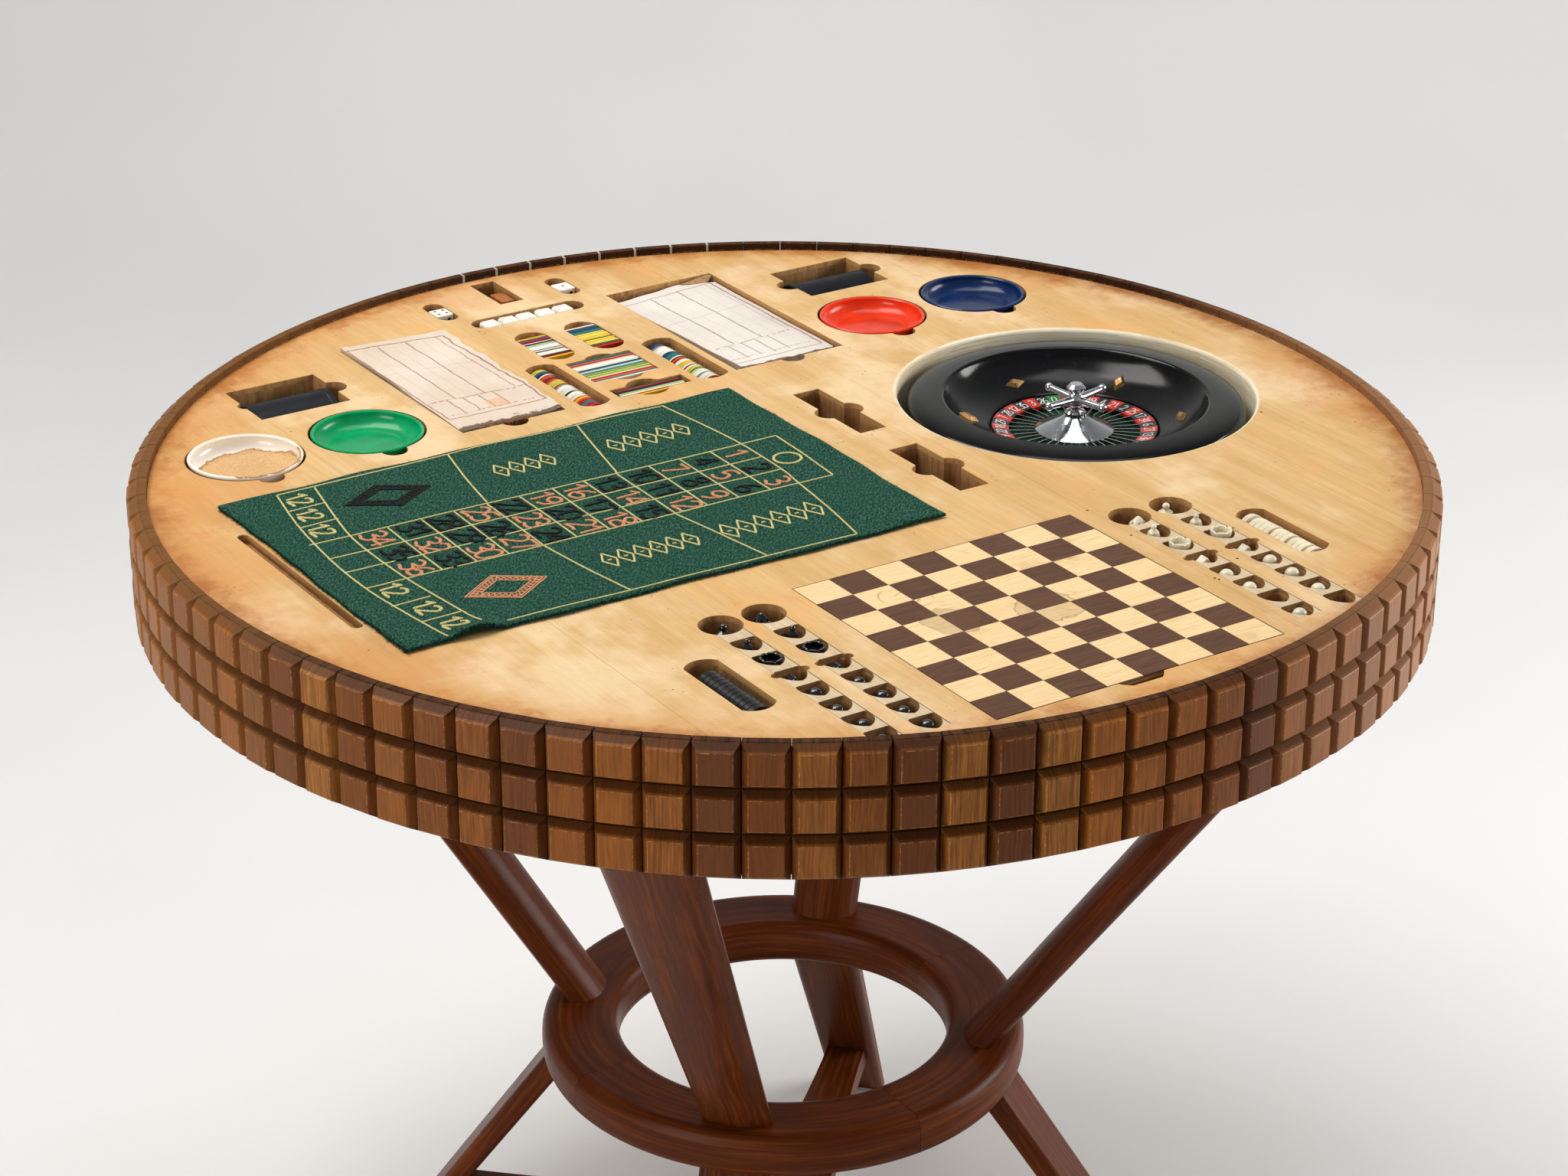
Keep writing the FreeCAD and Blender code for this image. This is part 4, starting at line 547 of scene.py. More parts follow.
def lacquer():
    """Black lacquer of the wheel bowl: fine turning rings, dust and scuffs."""
    g = Graph("bowl_lacquer")
    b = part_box("roulette_bowl")
    cx, cy = (b[0].x + b[1].x) / 2, (b[0].y + b[1].y) / 2
    X, Y, Z = g.xyz()
    dx, dy = g.m("SUBTRACT", X, cx), g.m("SUBTRACT", Y, cy)
    r = g.m("SQRT", g.m("ADD", g.m("MULTIPLY", dx, dx), g.m("MULTIPLY", dy, dy)))
    a = g.m("ARCTAN2", dy, dx)
    turn = g.noise(g.comb(g.m("MULTIPLY", r, 1400.0), g.m("MULTIPLY", a, 1.2), 0.0), 1.0, 3.0)
    dust = g.noise(g.scaled((380.0, 380.0, 380.0)), 1.0, 4.0, 0.75)
    haze = g.noise(g.scaled((26.0, 26.0, 26.0)), 1.0, 4.0, 0.65)
    c = g.mix(g.lerp(haze, 0.45, 0.8, 0.0, 0.3), rgb(4, 4, 5), rgb(16, 17, 19))
    inner = g.m("MULTIPLY", g.step(r, 0.101, 0.096), g.step(r, 0.064, 0.074))
    c = g.mix(g.m("MULTIPLY", inner, 0.05), c, rgb(60, 62, 68))
    c = g.mix(g.m("MULTIPLY", g.step(dust, 0.68, 0.76), 0.16), c, rgb(110, 110, 112))
    scr = g.step(g.noise(g.comb(g.m("MULTIPLY", r, 2200.0), g.m("MULTIPLY", a, 9.0), 4.0), 1.0, 1.0), 0.74, 0.80)
    c = g.mix(g.m("MULTIPLY", scr, 0.25), c, rgb(130, 130, 134))
    n = g.bump(g.m("ADD", turn, g.m("MULTIPLY", dust, 0.4)), 0.00006, 0.4)
    rough = g.m("ADD", g.lerp(haze, 0.3, 0.75, 0.09, 0.22), g.m("MULTIPLY", inner, 0.04))
    return g.done(c, rough, 0.0, n, spec=0.28)


def chrome(name, tint=(208, 210, 214), pit=0.5, rough=0.08):
    g = Graph(name)
    spots = g.step(g.noise(g.scaled((700.0, 700.0, 700.0)), 1.0, 4.0, 0.75), 0.60, 0.70)
    haze = g.noise(g.scaled((160.0, 160.0, 160.0)), 1.0, 3.0)
    c = g.mix(g.m("MULTIPLY", spots, pit), rgb(*tint), rgb(74, 66, 56))
    rough_ = g.m("ADD", g.lerp(haze, 0.4, 0.75, rough, rough + 0.16), g.m("MULTIPLY", spots, 0.3))
    n = g.bump(g.m("ADD", haze, spots), 0.00005, 0.35)
    return g.done(c, rough_, 1.0, n)


def brass(name="brass_rubbed"):
    g = Graph(name)
    d = g.noise(g.scaled((520.0, 520.0, 520.0)), 1.0, 4.0, 0.7)
    c = g.ramp(d, [(0.3, rgb(104, 70, 38)), (0.5, rgb(186, 140, 84)), (0.7, rgb(232, 196, 146))])
    n = g.bump(d, 0.0003, 0.7)
    return g.done(c, g.lerp(d, 0.3, 0.7, 0.5, 0.28), 0.9, n)


def plywood(name):
    g = Graph(name)
    X, Y, Z = g.xyz()
    ply = g.m("FRACT", g.m("DIVIDE", Z, 0.0028))
    grain = g.noise(g.comb(g.m("MULTIPLY", X, 14.0), g.m("MULTIPLY", Y, 420.0), g.m("MULTIPLY", Z, 300.0)), 1.0, 4.0, 0.6)
    c = g.ramp(grain, [(0.3, rgb(150, 108, 66)), (0.7, rgb(194, 152, 104))])
    side = g.step(g.m("ABSOLUTE", g.nrm()[2]), 0.6, 0.3)
    c = g.mix(g.m("MULTIPLY", side, g.step(ply, 0.45, 0.55)), c, rgb(126, 84, 48))
    knots = g.step(g.voro(g.scaled((7.0, 4.0, 1.0)), 1.0), 0.09, 0.03)
    c = g.mix(knots, c, rgb(96, 56, 28))
    n = g.bump(grain, 0.0003, 0.5)
    return g.done(c, 0.62, 0.0, n)


def well_paint():
    """Pale rubbed lining of the wheel's well, with old cracks."""
    g = Graph("well_lining")
    X, Y, Z = g.xyz()
    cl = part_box("wheel_well")
    cx, cy = (cl[0].x + cl[1].x) / 2, (cl[0].y + cl[1].y) / 2
    a = g.m("ARCTAN2", g.m("SUBTRACT", Y, cy), g.m("SUBTRACT", X, cx))
    lay = g.noise(g.comb(g.m("MULTIPLY", a, 3.0), g.m("MULTIPLY", Z, 700.0), 0.0), 1.0, 4.0, 0.65)
    c = g.ramp(lay, [(0.3, rgb(196, 178, 140)), (0.6, rgb(232, 220, 190))])
    crack = g.step(g.noise(g.comb(g.m("MULTIPLY", a, 5.0), g.m("MULTIPLY", Z, 1500.0), 3.0), 1.0, 2.0), 0.70, 0.76)
    c = g.mix(g.m("MULTIPLY", crack, 0.8), c, rgb(70, 54, 36))
    n = g.bump(g.m("SUBTRACT", lay, crack), 0.0003, 0.5)
    return g.done(c, 0.5, 0.0, n, coat=0.1)


def banded(name, y0, pitch, colours, rough=0.22, jitter=True):
    """Plaques or counters: one colour each along Y."""
    g = Graph(name)
    X, Y, Z = g.xyz()
    n_ = len(colours)
    u = g.m("DIVIDE", g.m("SUBTRACT", Y, y0), pitch * n_)
    stops = [(i / n_, c) for i, c in enumerate(colours)]
    if n_ <= 32:
        c = g.ramp(u, stops, "CONSTANT")
    else:
        half = n_ // 2
        a = g.ramp(g.m("MULTIPLY", u, n_ / half), [(i / half, c_) for i, c_ in enumerate(colours[:half])], "CONSTANT")
        b = g.ramp(g.m("DIVIDE", g.m("SUBTRACT", u, half / n_), (n_ - half) / n_), [(i / (n_ - half), c_) for i, c_ in enumerate(colours[half:])], "CONSTANT")
        c = g.mix(g.m("GREATER_THAN", u, half / n_), a, b)
    d = g.noise(g.scaled((300.0, 300.0, 300.0)), 1.0, 3.0)
    c = g.mix(g.lerp(d, 0.5, 0.85, 0.0, 0.12), c, rgb(110, 88, 66))
    n = g.bump(d, 0.0001, 0.3)
    return g.done(c, g.lerp(d, 0.3, 0.7, rough + 0.08, rough + 0.22), 0.0, n, spec=0.16)


PAL = {
    "y": rgb(222, 180, 40), "Y": rgb(232, 204, 78), "w": rgb(226, 218, 200), "W": rgb(240, 235, 224), "r": rgb(164, 34, 16), "o": rgb(208, 84, 30),
    "b": rgb(22, 58, 90), "n": rgb(18, 26, 54), "t": rgb(32, 106, 106), "g": rgb(90, 122, 42), "d": rgb(60, 70, 24), "l": rgb(176, 188, 92),
    "p": rgb(84, 50, 98), "m": rgb(150, 30, 54), "k": rgb(48, 26, 30), "e": rgb(108, 132, 138), "v": rgb(32, 98, 54), "c": rgb(196, 208, 202),
}

STRIP_X = []
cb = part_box("chess_strips")
for c_ in (-0.4235, -0.351, 0.2995, 0.3775):
    STRIP_X.append((482.7 * c_ + 7.93) / 1000)

M = {}
M["birch"] = birch("birch_top")
M["core"] = pocket_wood("pocket_wood", rgb(198, 152, 98), rgb(146, 104, 62))
M["strip"] = strip_wood()
M["rim"] = rim_wood()
M["leg_u"] = leg_wood("leg_upper", "upper")
M["leg_l"] = leg_wood("leg_lower", "lower")
M["leg_r"] = leg_wood("leg_ring", "ring")
M["leg_s"] = leg_wood("leg_stretcher", "stretch")
M["ply"] = plywood("plywood")
M["well"] = well_paint()
M["sq_l"] = veneer("square_light", rgb(247, 221, 176), rgb(238, 207, 156), rgb(222, 184, 128), stains=True)
M["sq_d"] = veneer("square_dark", rgb(116, 80, 56), rgb(94, 63, 44), rgb(66, 42, 29))
M["men_b"] = plastic("men_black", rgb(9, 9, 10), 0.10, 0.3, rgb(70, 66, 60), coat=0.8)
M["men_w"] = plastic("men_ivory", rgb(226, 216, 188), 0.28, 0.5, rgb(150, 132, 96), coat=0.25, sss=0.05)
M["dr_b"] = plastic("draughts_black", rgb(8, 9, 12), 0.28, 0.18, rgb(60, 62, 68), coat=0.1, mottled=0.03, spec=0.3)
M["dr_w"] = plastic("draughts_ivory", rgb(232, 220, 190), 0.3, 0.4, rgb(170, 150, 112), coat=0.2)
M["dish_g"] = plastic("dish_green", rgb(0, 156, 94), 0.22, 0.0, None, coat=0.12, spec=0.3)
M["dish_r"] = plastic("dish_red", rgb(224, 54, 16), 0.22, 0.35, rgb(232, 104, 60), coat=0.12, spec=0.3)
M["dish_b"] = plastic("dish_blue", rgb(6, 38, 84), 0.22, 0.35, rgb(44, 88, 132), coat=0.12, spec=0.3)
M["cup"] = plastic("cup_cover", rgb(12, 14, 22), 0.42, 0.25, rgb(46, 50, 62), coat=0.0, mottled=0.10, spec=0.22)
M["die"] = plastic("die_white", rgb(240, 236, 224), 0.2, 0.25, rgb(200, 188, 160), coat=0.5, sss=0.05)
M["pip"] = plastic("pip_black", rgb(12, 12, 12), 0.4)
M["block"] = pocket_wood("block_wood", rgb(214, 136, 74), rgb(150, 84, 38))
M["red"] = plastic("enamel_red", rgb(196, 34, 22), 0.3, 0.55, rgb(120, 22, 16), coat=0.3)
M["black"] = plastic("enamel_black", rgb(14, 14, 15), 0.28, 0.5, rgb(80, 78, 74), coat=0.3)
M["green"] = plastic("enamel_green", rgb(12, 120, 52), 0.3, 0.4, rgb(6, 70, 30), coat=0.3)
M["pocket"] = plastic("pocket_green", rgb(16, 74, 54), 0.6, 0.0, None, coat=0.0)
M["chrome"] = chrome("chrome_turret", pit=0.45)
M["steel"] = chrome("steel_frets", (186, 188, 184), 0.3, 0.16)
M["brass"] = brass()
M["lacquer"] = lacquer()


def dish_white():
    """Cream dish with a dried tan residue in the bottom."""
    g = Graph("dish_white")
    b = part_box("dish_white")
    cx, cy = (b[0].x + b[1].x) / 2, (b[0].y + b[1].y) / 2
    X, Y, Z = g.xyz()
    dx, dy = g.m("SUBTRACT", X, cx + 0.001), g.m("SUBTRACT", Y, cy - 0.004)
    r = g.m("SQRT", g.m("ADD", g.m("MULTIPLY", dx, dx), g.m("MULTIPLY", dy, dy)))
    n_ = g.noise(g.scaled((70.0, 70.0, 70.0)), 1.0, 4.0, 0.7)
    rr = g.m("ADD", r, g.m("MULTIPLY", g.m("SUBTRACT", n_, 0.5), 0.011))
    up = g.step(g.nrm()[2], 0.2, 0.5)
    res = g.m("MULTIPLY", g.step(rr, 0.0392, 0.0380), up)
    fine = g.noise(g.scaled((600.0, 600.0, 600.0)), 1.0, 3.0, 0.7)
    tan = g.ramp(fine, [(0.3, rgb(196, 152, 98)), (0.7, rgb(222, 182, 128))])
    c = g.mix(res, rgb(244, 237, 224), tan)
    c = g.mix(g.m("MULTIPLY", g.band(rr, 0.0386, 0.0003, 0.0009), up), c, rgb(178, 128, 74))
    n = g.bump(g.m("ADD", g.m("MULTIPLY", fine, res), g.m("MULTIPLY", res, 1.5)), 0.0003, 0.5)
    return g.done(c, g.lerp(res, 0, 1, 0.25, 0.7), 0.0, n, coat=g.lerp(res, 0, 1, 0.3, 0.0), coat_rough=0.1)


M["dish_w"] = dish_white()

for node, key in {
    "top_sheet": "birch", "top_core": "core", "chess_strips": "strip", "rim_hoop": "ply", "rim_staves": "rim", "bottom_board": "ply",
    "well_boxes": "core", "wheel_well": "well", "leg_blocks": "ply", "upper_legs": "leg_u", "leg_ring": "leg_r", "ring_splines": "ply",
    "ring_plugs": "leg_r", "lower_legs": "leg_l", "stretchers": "leg_s", "board_base": "ply", "board_light": "sq_l", "board_dark": "sq_d",
    "chessmen_black": "men_b", "chessmen_white": "men_w", "draughts_black": "dr_b", "draughts_white": "dr_w",
    "dice_cup_left": "cup", "dice_cup_right": "cup", "dish_white": "dish_w", "dish_green": "dish_g", "dish_red": "dish_r", "dish_blue": "dish_b",
    "poker_dice": "die", "dice_pair": "die", "dice_pips": "pip", "wood_block": "block", "roulette_bowl": "lacquer", "deflectors": "brass",
    "wheel_spindle": "steel", "rotor_bush": "brass", "rotor_disc": "black", "pocket_floor": "pocket", "ring_red": "red", "ring_black": "black",
    "ring_green": "green", "rotor_frets": "steel", "rotor_cone": "chrome", "turret_cross": "chrome",
}.items():
    paint(node, M[key])

for node, cols, rough in (
    ("chips_back_left", "yrnwwWkwnWWcclnwmmpgy", 0.25), ("chips_back_right", "rrvYlYYdyYYYYYtttbbnw", 0.25),
    ("plaques_centre", "weorwllgltctbwWWwrobt", 0.25), ("plaques_front", "yrwltnmd", 0.25),
):
    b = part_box(node)
    paint(node, banded(node, b[0].y, (b[1].y - b[0].y) / len(cols), [PAL[k] for k in cols], rough))
seq_l = "rmmttrroyowcwWwnwcwwWweryllyorkrorwnbtlywnb"
seq_r = "rwcwweWwwlvlywrwlyyWwrokwtttbbwWWWWwepbkrro"
for node, cols in (("chips_row_left", seq_l), ("chips_row_right", seq_r)):
    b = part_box(node)
    cols = (cols * 2)[:40]
    paint(node, banded(node, b[0].y, (b[1].y - b[0].y) / len(cols), [PAL[k] for k in cols]))

for o in NODES.values():
    o.data.polygons.foreach_set("use_smooth", [True] * len(o.data.polygons))

# ============================================================== stroke figures
GLYPH = {
    "0": ([(0.35, 1.0), (0.13, 0.88), (0.06, 0.5), (0.13, 0.12), (0.35, 0.0), (0.57, 0.12), (0.64, 0.5), (0.57, 0.88), (0.35, 1.0)], True),
    "1": ([(0.12, 0.74), (0.42, 1.0), (0.42, 0.0)], False),
    "2": ([(0.10, 0.78), (0.20, 0.96), (0.40, 1.0), (0.60, 0.86), (0.58, 0.62), (0.36, 0.34), (0.06, 0.0), (0.36, 0.02), (0.66, 0.0)], True),
    "3": ([(0.08, 0.88), (0.34, 1.0), (0.58, 0.84), (0.54, 0.62), (0.28, 0.52), (0.56, 0.42), (0.64, 0.20), (0.42, 0.0), (0.06, 0.10)], True),
    "4": ([(0.50, 0.0), (0.50, 1.0), (0.04, 0.30), (0.68, 0.30)], False),
    "5": ([(0.60, 1.0), (0.16, 0.98), (0.12, 0.58), (0.40, 0.62), (0.62, 0.42), (0.58, 0.12), (0.34, 0.0), (0.06, 0.10)], True),
    "6": ([(0.54, 0.98), (0.24, 0.76), (0.08, 0.36), (0.14, 0.08), (0.36, 0.0), (0.60, 0.12), (0.62, 0.36), (0.40, 0.50), (0.14, 0.36)], True),
    "7": ([(0.05, 0.98), (0.64, 1.0), (0.28, 0.0)], False),
    "8": ([(0.35, 0.53), (0.12, 0.72), (0.16, 0.94), (0.36, 1.0), (0.56, 0.92), (0.58, 0.70), (0.35, 0.53), (0.08, 0.34), (0.10, 0.08), (0.36, 0.0), (0.62, 0.10), (0.62, 0.34), (0.35, 0.53)], True),
    "9": ([(0.16, 0.04), (0.44, 0.20), (0.60, 0.56), (0.58, 0.88), (0.36, 1.0), (0.12, 0.88), (0.08, 0.62), (0.30, 0.48), (0.58, 0.60)], True),
}


def smooth(pts, n=6):
    """Catmull-Rom through the points."""
    p = [Vector((a[0], a[1], 0)) for a in pts]
    out = []
    closed = (p[0] - p[-1]).length < 1e-6
    for i in range(len(p) - 1):
        a = p[i - 1] if i else (p[-2] if closed else p[0])
        b, c = p[i], p[i + 1]
        d = p[i + 2] if i + 2 < len(p) else (p[1] if closed else p[-1])
        for k in range(n):
            t = k / n
            out.append(0.5 * ((2 * b) + (c - a) * t + (2 * a - 5 * b + 4 * c - d) * t * t + (3 * b - 3 * c + d - a) * t ** 3))
    out.append(p[-1])
    return [(q.x, q.y) for q in out]


def resample(pts, step):
    p = np.array(pts, float)
    d = np.r_[0, np.cumsum(np.linalg.norm(np.diff(p, axis=0), axis=1))]
    keep = np.r_[True, np.diff(d) > 1e-9]
    p, d = p[keep], d[keep]
    n = max(2, int(round(d[-1] / step)) + 1)
    s = np.linspace(0, d[-1], n)
    return np.stack([np.interp(s, d, p[:, k]) for k in range(p.shape[1])], 1), s


def strokes(text, size, pitch=0.70):
    """Polylines of a number, centred, reading along +X with its tops to +Y."""
    out, w = [], pitch * len(text) - (pitch - 0.68)
    for i, ch in enumerate(text):
        pts, soft = GLYPH[ch]
        if soft:
            pts = smooth(pts)
        out.append([((x + i * pitch - w / 2) * size, (y - 0.5) * size) for x, y in pts])
    return out


class Cord:
    """Collects swept threads into one mesh."""

    def __init__(self):
        self.v, self.f = [], []

    def add(self, pts, height, r=0.0006, squat=0.6, step=0.0005, bead=0.0017, amp=0.22, jitter=0.00012, sides=6, seed=0.0, lift=0.0):
        p, s = resample(pts, step)
        n = len(p)
        t = np.gradient(p, axis=0)
        t /= np.maximum(np.linalg.norm(t, axis=1), 1e-9)[:, None]
        side = np.stack([-t[:, 1], t[:, 0]], 1)
        base = len(self.v)
        for i in range(n):
            ph = s[i] / bead
            rr = r * (1 - amp + 2 * amp * abs(math.sin(math.pi * ph)))
            k = 0.35 if i in (0, n - 1) else 1.0
            wob = (hash01(seed, round(ph), 3.1) - 0.5) * 2 * jitter
            cx, cy = p[i] + side[i] * wob
            cz = height(cx, cy) + lift
            for j in range(sides):
                a = 2 * math.pi * j / sides + 0.6 * math.sin(math.pi * ph)
                du, dz = math.cos(a) * rr * k, math.sin(a) * rr * squat * k
                self.v.append((cx + side[i][0] * du, cy + side[i][1] * du, cz + dz + rr * squat * 0.5))
        for i in range(n - 1):
            for j in range(sides):
                a, b = base + i * sides + j, base + i * sides + (j + 1) % sides
                self.f.append((a, b, b + sides, a + sides))
        self.f.append(tuple(base + j for j in reversed(range(sides))))
        self.f.append(tuple(base + (n - 1) * sides + j for j in range(sides)))

    def make(self, name, mat, body, slot=None):
        return mesh_obj(name, self.v, self.f, mat, body)


# ============================================================ layout cloth
def U(u):
    return (482.7 * u + 7.93) / 1000


def V(v):
    return (482.7 * v + 12.15) / 1000


def P(u, v):
    """A mark seen on the cloth, brought down from the cloth's own height."""
    return (U(u - 0.0064), V(v - 0.0099))


CL_T = 0.0026
LIFT = (U(-0.7275), V(-0.332))


def near_edge(x):
    t = (x - U(-0.842)) / (U(0.068) - U(-0.842))
    y = V(-0.331) + (V(-0.346) - V(-0.331)) * t
    return y + 0.0009 * math.sin(31 * x + 0.5) + 0.0005 * math.sin(97 * x)


def far_edge(x):
    t = (x - U(-0.842)) / (U(0.068) - U(-0.842))
    y = V(0.274) + (V(0.266) - V(0.274)) * t
    return y + 0.0009 * math.sin(26 * x + 2.0) + 0.0005 * math.sin(83 * x)


def left_edge(y):
    return U(-0.841) + 0.0007 * math.sin(29 * y) + 0.0005 * math.sin(118 * y + 1)


def right_edge(y):
    return U(0.0645) + 0.0008 * math.sin(24 * y + 1) + 0.0005 * math.sin(104 * y)


def lift_at(x, y):
    dx = (x - LIFT[0]) / 0.0225
    if abs(dx) >= 1:
        return 0.0
    arch = math.cos(0.5 * math.pi * dx) ** 1.2
    dy = max(0.0, y - near_edge(x)) / 0.030
    return 0.0068 * arch * max(0.0, 1 - dy) ** 2


def swell(x, y):
    w = 0.00022 * math.sin(21 * x + 1.3 * math.sin(17 * y)) * math.sin(19 * y + 0.7) + 0.00016 * math.sin(47 * x + 33 * y)
    edge = min(x - left_edge(y), right_edge(y) - x, y - near_edge(x), far_edge(x) - y)
    curl = 0.0009 * math.exp(-max(edge, 0) / 0.006) * (0.5 + 0.5 * math.sin(61 * x + 43 * y))
    return max(0.0, w + 0.0003) + curl


def cloth_top(x, y):
    return Z_TOP + 0.0002 + CL_T + swell(x, y) + lift_at(x, y)


def felt():
    g = Graph("cloth_felt")
    X, Y, Z = g.xyz()
    diag = g.comb(g.m("MULTIPLY", g.m("ADD", X, Y), 0.7071), g.m("MULTIPLY", g.m("SUBTRACT", Y, X), 0.7071), Z)
    nap = g.noise(g.v("MULTIPLY", diag, (300.0, 760.0, 420.0)), 1.0, 4.0, 0.72)
    fine = g.noise(g.scaled((2600.0, 2600.0, 2600.0)), 1.0, 2.0, 0.6)
    cloud = g.noise(g.scaled((26.0, 26.0, 26.0)), 1.0, 4.0, 0.6)
    pill = g.voro(g.scaled((260.0, 260.0, 260.0)), 1.0)
    c = g.ramp(nap, [(0.32, rgb(5, 21, 20)), (0.48, rgb(28, 64, 54)), (0.66, rgb(84, 128, 104))])
    c = g.mix(g.lerp(fine, 0.42, 0.75, 0.0, 0.5), c, rgb(6, 32, 27))
    c = g.mix(g.lerp(cloud, 0.35, 0.7, 0.0, 0.30), c, rgb(20, 70, 54))
    c = g.mix(g.m("MULTIPLY", g.step(pill, 0.16, 0.05), 0.4), c, rgb(104, 146, 124))
    side = g.step(g.m("ABSOLUTE", g.nrm()[2]), 0.75, 0.25)
    c = g.mix(g.m("MULTIPLY", side, 0.75), c, rgb(10, 32, 28))
    h = g.m("ADD", g.m("MULTIPLY", nap, 0.8), g.m("ADD", g.m("MULTIPLY", fine, 0.5), g.m("MULTIPLY", cloud, 0.4)))
    n = g.bump(h, 0.0012, 0.8)
    return g.done(c, 0.98, 0.0, n, sheen=0.12, sheen_rough=0.5, sheen_tint=rgb(120, 180, 150), spec=0.03)


def thread(name, lo, mid, hi):
    g = Graph(name)
    twist = g.noise(g.scaled((1500.0, 1500.0, 1500.0)), 1.0, 3.0, 0.65)
    wear = g.noise(g.scaled((90.0, 90.0, 90.0)), 1.0, 3.0)
    c = g.ramp(twist, [(0.3, lo), (0.5, mid), (0.7, hi)])
    c = g.mix(g.lerp(wear, 0.5, 0.8, 0.0, 0.35), c, lo)
    n = g.bump(twist, 0.0005, 0.8)
    return g.done(c, 0.75, 0.0, n, sheen=0.08, spec=0.12)


M["felt"] = felt()
M["th_y"] = thread("thread_yellow", rgb(150, 140, 84), rgb(206, 194, 128), rgb(238, 226, 168))
M["th_k"] = thread("thread_black", rgb(2, 5, 6), rgb(5, 10, 12), rgb(18, 28, 32))
M["th_r"] = thread("thread_red", rgb(168, 104, 70), rgb(208, 142, 102), rgb(232, 178, 138))

nx, ny = (230, 150)
verts, faces = [], []
for layer in range(2):
    for j in range(ny + 1):
        for i in range(nx + 1):
            a, b = i / nx, j / ny
            y0 = V(-0.34) + (V(0.27) - V(-0.34)) * b
            x = left_edge(y0) + (right_edge(y0) - left_edge(y0)) * a
            y = near_edge(x) + (far_edge(x) - near_edge(x)) * b
            z = cloth_top(x, y) - layer * CL_T
            rim_d = min(a * 0.44, (1 - a) * 0.44, b * 0.3, (1 - b) * 0.3)
            if layer == 0 and rim_d < 0.0008:
                z -= CL_T * 0.22
            verts.append((x, y, max(z, Z_TOP + 0.00012)))
row = nx + 1
for j in range(ny):
    for i in range(nx):
        a = j * row + i
        faces.append((a, a + 1, a + row + 1, a + row))
        b = a + row * (ny + 1)
        faces.append((b, b + row, b + row + 1, b + 1))
lo = row * (ny + 1)
for i in range(nx):
    faces.append((i, i + lo, i + lo + 1, i + 1))
    t = ny * row + i
    faces.append((t, t + 1, t + lo + 1, t + lo))
for j in range(ny):
    l_ = j * row
    faces.append((l_, l_ + row, l_ + row + lo, l_ + lo))
    r_ = j * row + nx
    faces.append((r_, r_ + lo, r_ + row + lo, r_ + row))
cloth = mesh_obj("table_cloth", verts, faces, M["felt"], "cloth", replaces=["layout_cloth"])

# frayed fibres all round the edge, more of them along the near edge
rnd = random.Random(11)
fv, ff = [], []


def fibre(p, d, length, r, droop):
    """One thin tapering fibre from p along d, curving down by droop."""
    up = Vector((0, 0, 1))
    side = d.cross(up).normalized()
    base = len(fv)
    pts = []
    for k, t in enumerate((0.0, 0.5, 1.0)):
        c = p + d * (length * t) - up * (droop * t * t) + side * (rnd.uniform(-0.2, 0.2) * length * t)
        c.z = max(c.z, Z_TOP + 0.0002)
        rr = r * (1.0, 0.7, 0.15)[k]
        for m_ in range(3):
            a = 2 * math.pi * m_ / 3
            fv.append(tuple(c + side * (rr * math.cos(a)) + up * (rr * math.sin(a))))
    for k in range(2):
        for m_ in range(3):
            a, b = base + 3 * k + m_, base + 3 * k + (m_ + 1) % 3
            ff.append((a, b, b + 3, a + 3))
    ff.append((base, base + 2, base + 1))
    ff.append((base + 6, base + 7, base + 8))


def edge_fibres(n, place, out, drop):
    for _ in range(n):
        t = rnd.random()
        p = place(t)
        k = rnd.random() ** 1.6
        d = Vector((out[0] + rnd.uniform(-0.7, 0.7) * abs(out[1]), out[1] + rnd.uniform(-0.7, 0.7) * abs(out[0]), rnd.uniform(-0.5, 0.6))).normalized()
        fibre(p, d, 0.0009 + 0.0026 * k, rnd.uniform(0.00009, 0.0002), rnd.uniform(0.2, 1.0) * drop)


xa, xb, ya, yb = U(-0.838), U(0.062), V(-0.335), V(0.268)
edge_fibres(2300, lambda t: Vector((xa + (xb - xa) * t, near_edge(xa + (xb - xa) * t) + 0.0004, cloth_top(xa + (xb - xa) * t, near_edge(xa + (xb - xa) * t) + 0.001) - rnd.uniform(0.0003, 0.0024))), (0, -1), 0.0022)
edge_fibres(1300, lambda t: Vector((xa + (xb - xa) * t, far_edge(xa + (xb - xa) * t) - 0.0004, Z_TOP + CL_T - rnd.uniform(0.0, 0.0020))), (0, 1), 0.0006)
edge_fibres(1300, lambda t: Vector((left_edge(ya + (yb - ya) * t) + 0.0004, ya + (yb - ya) * t, Z_TOP + CL_T - rnd.uniform(0.0, 0.0022))), (-1, 0), 0.0010)
edge_fibres(1000, lambda t: Vector((right_edge(ya + (yb - ya) * t) - 0.0004, ya + (yb - ya) * t, Z_TOP + CL_T - rnd.uniform(0.0, 0.0020))), (1, 0), 0.0008)
# hanging nap under the lifted part
for _ in range(520):
    x = LIFT[0] + rnd.uniform(-0.0215, 0.0215)
    h = lift_at(x, near_edge(x))
    p = Vector((x, near_edge(x) + rnd.uniform(0.0, 0.0006), cloth_top(x, near_edge(x)) - rnd.uniform(0.0002, CL_T)))
    fibre(p, Vector((rnd.uniform(-0.3, 0.3), -0.5, -1.0)).normalized(), min(0.0036, 0.0016 + h * 0.5), rnd.uniform(0.00012, 0.00024), 0.0)
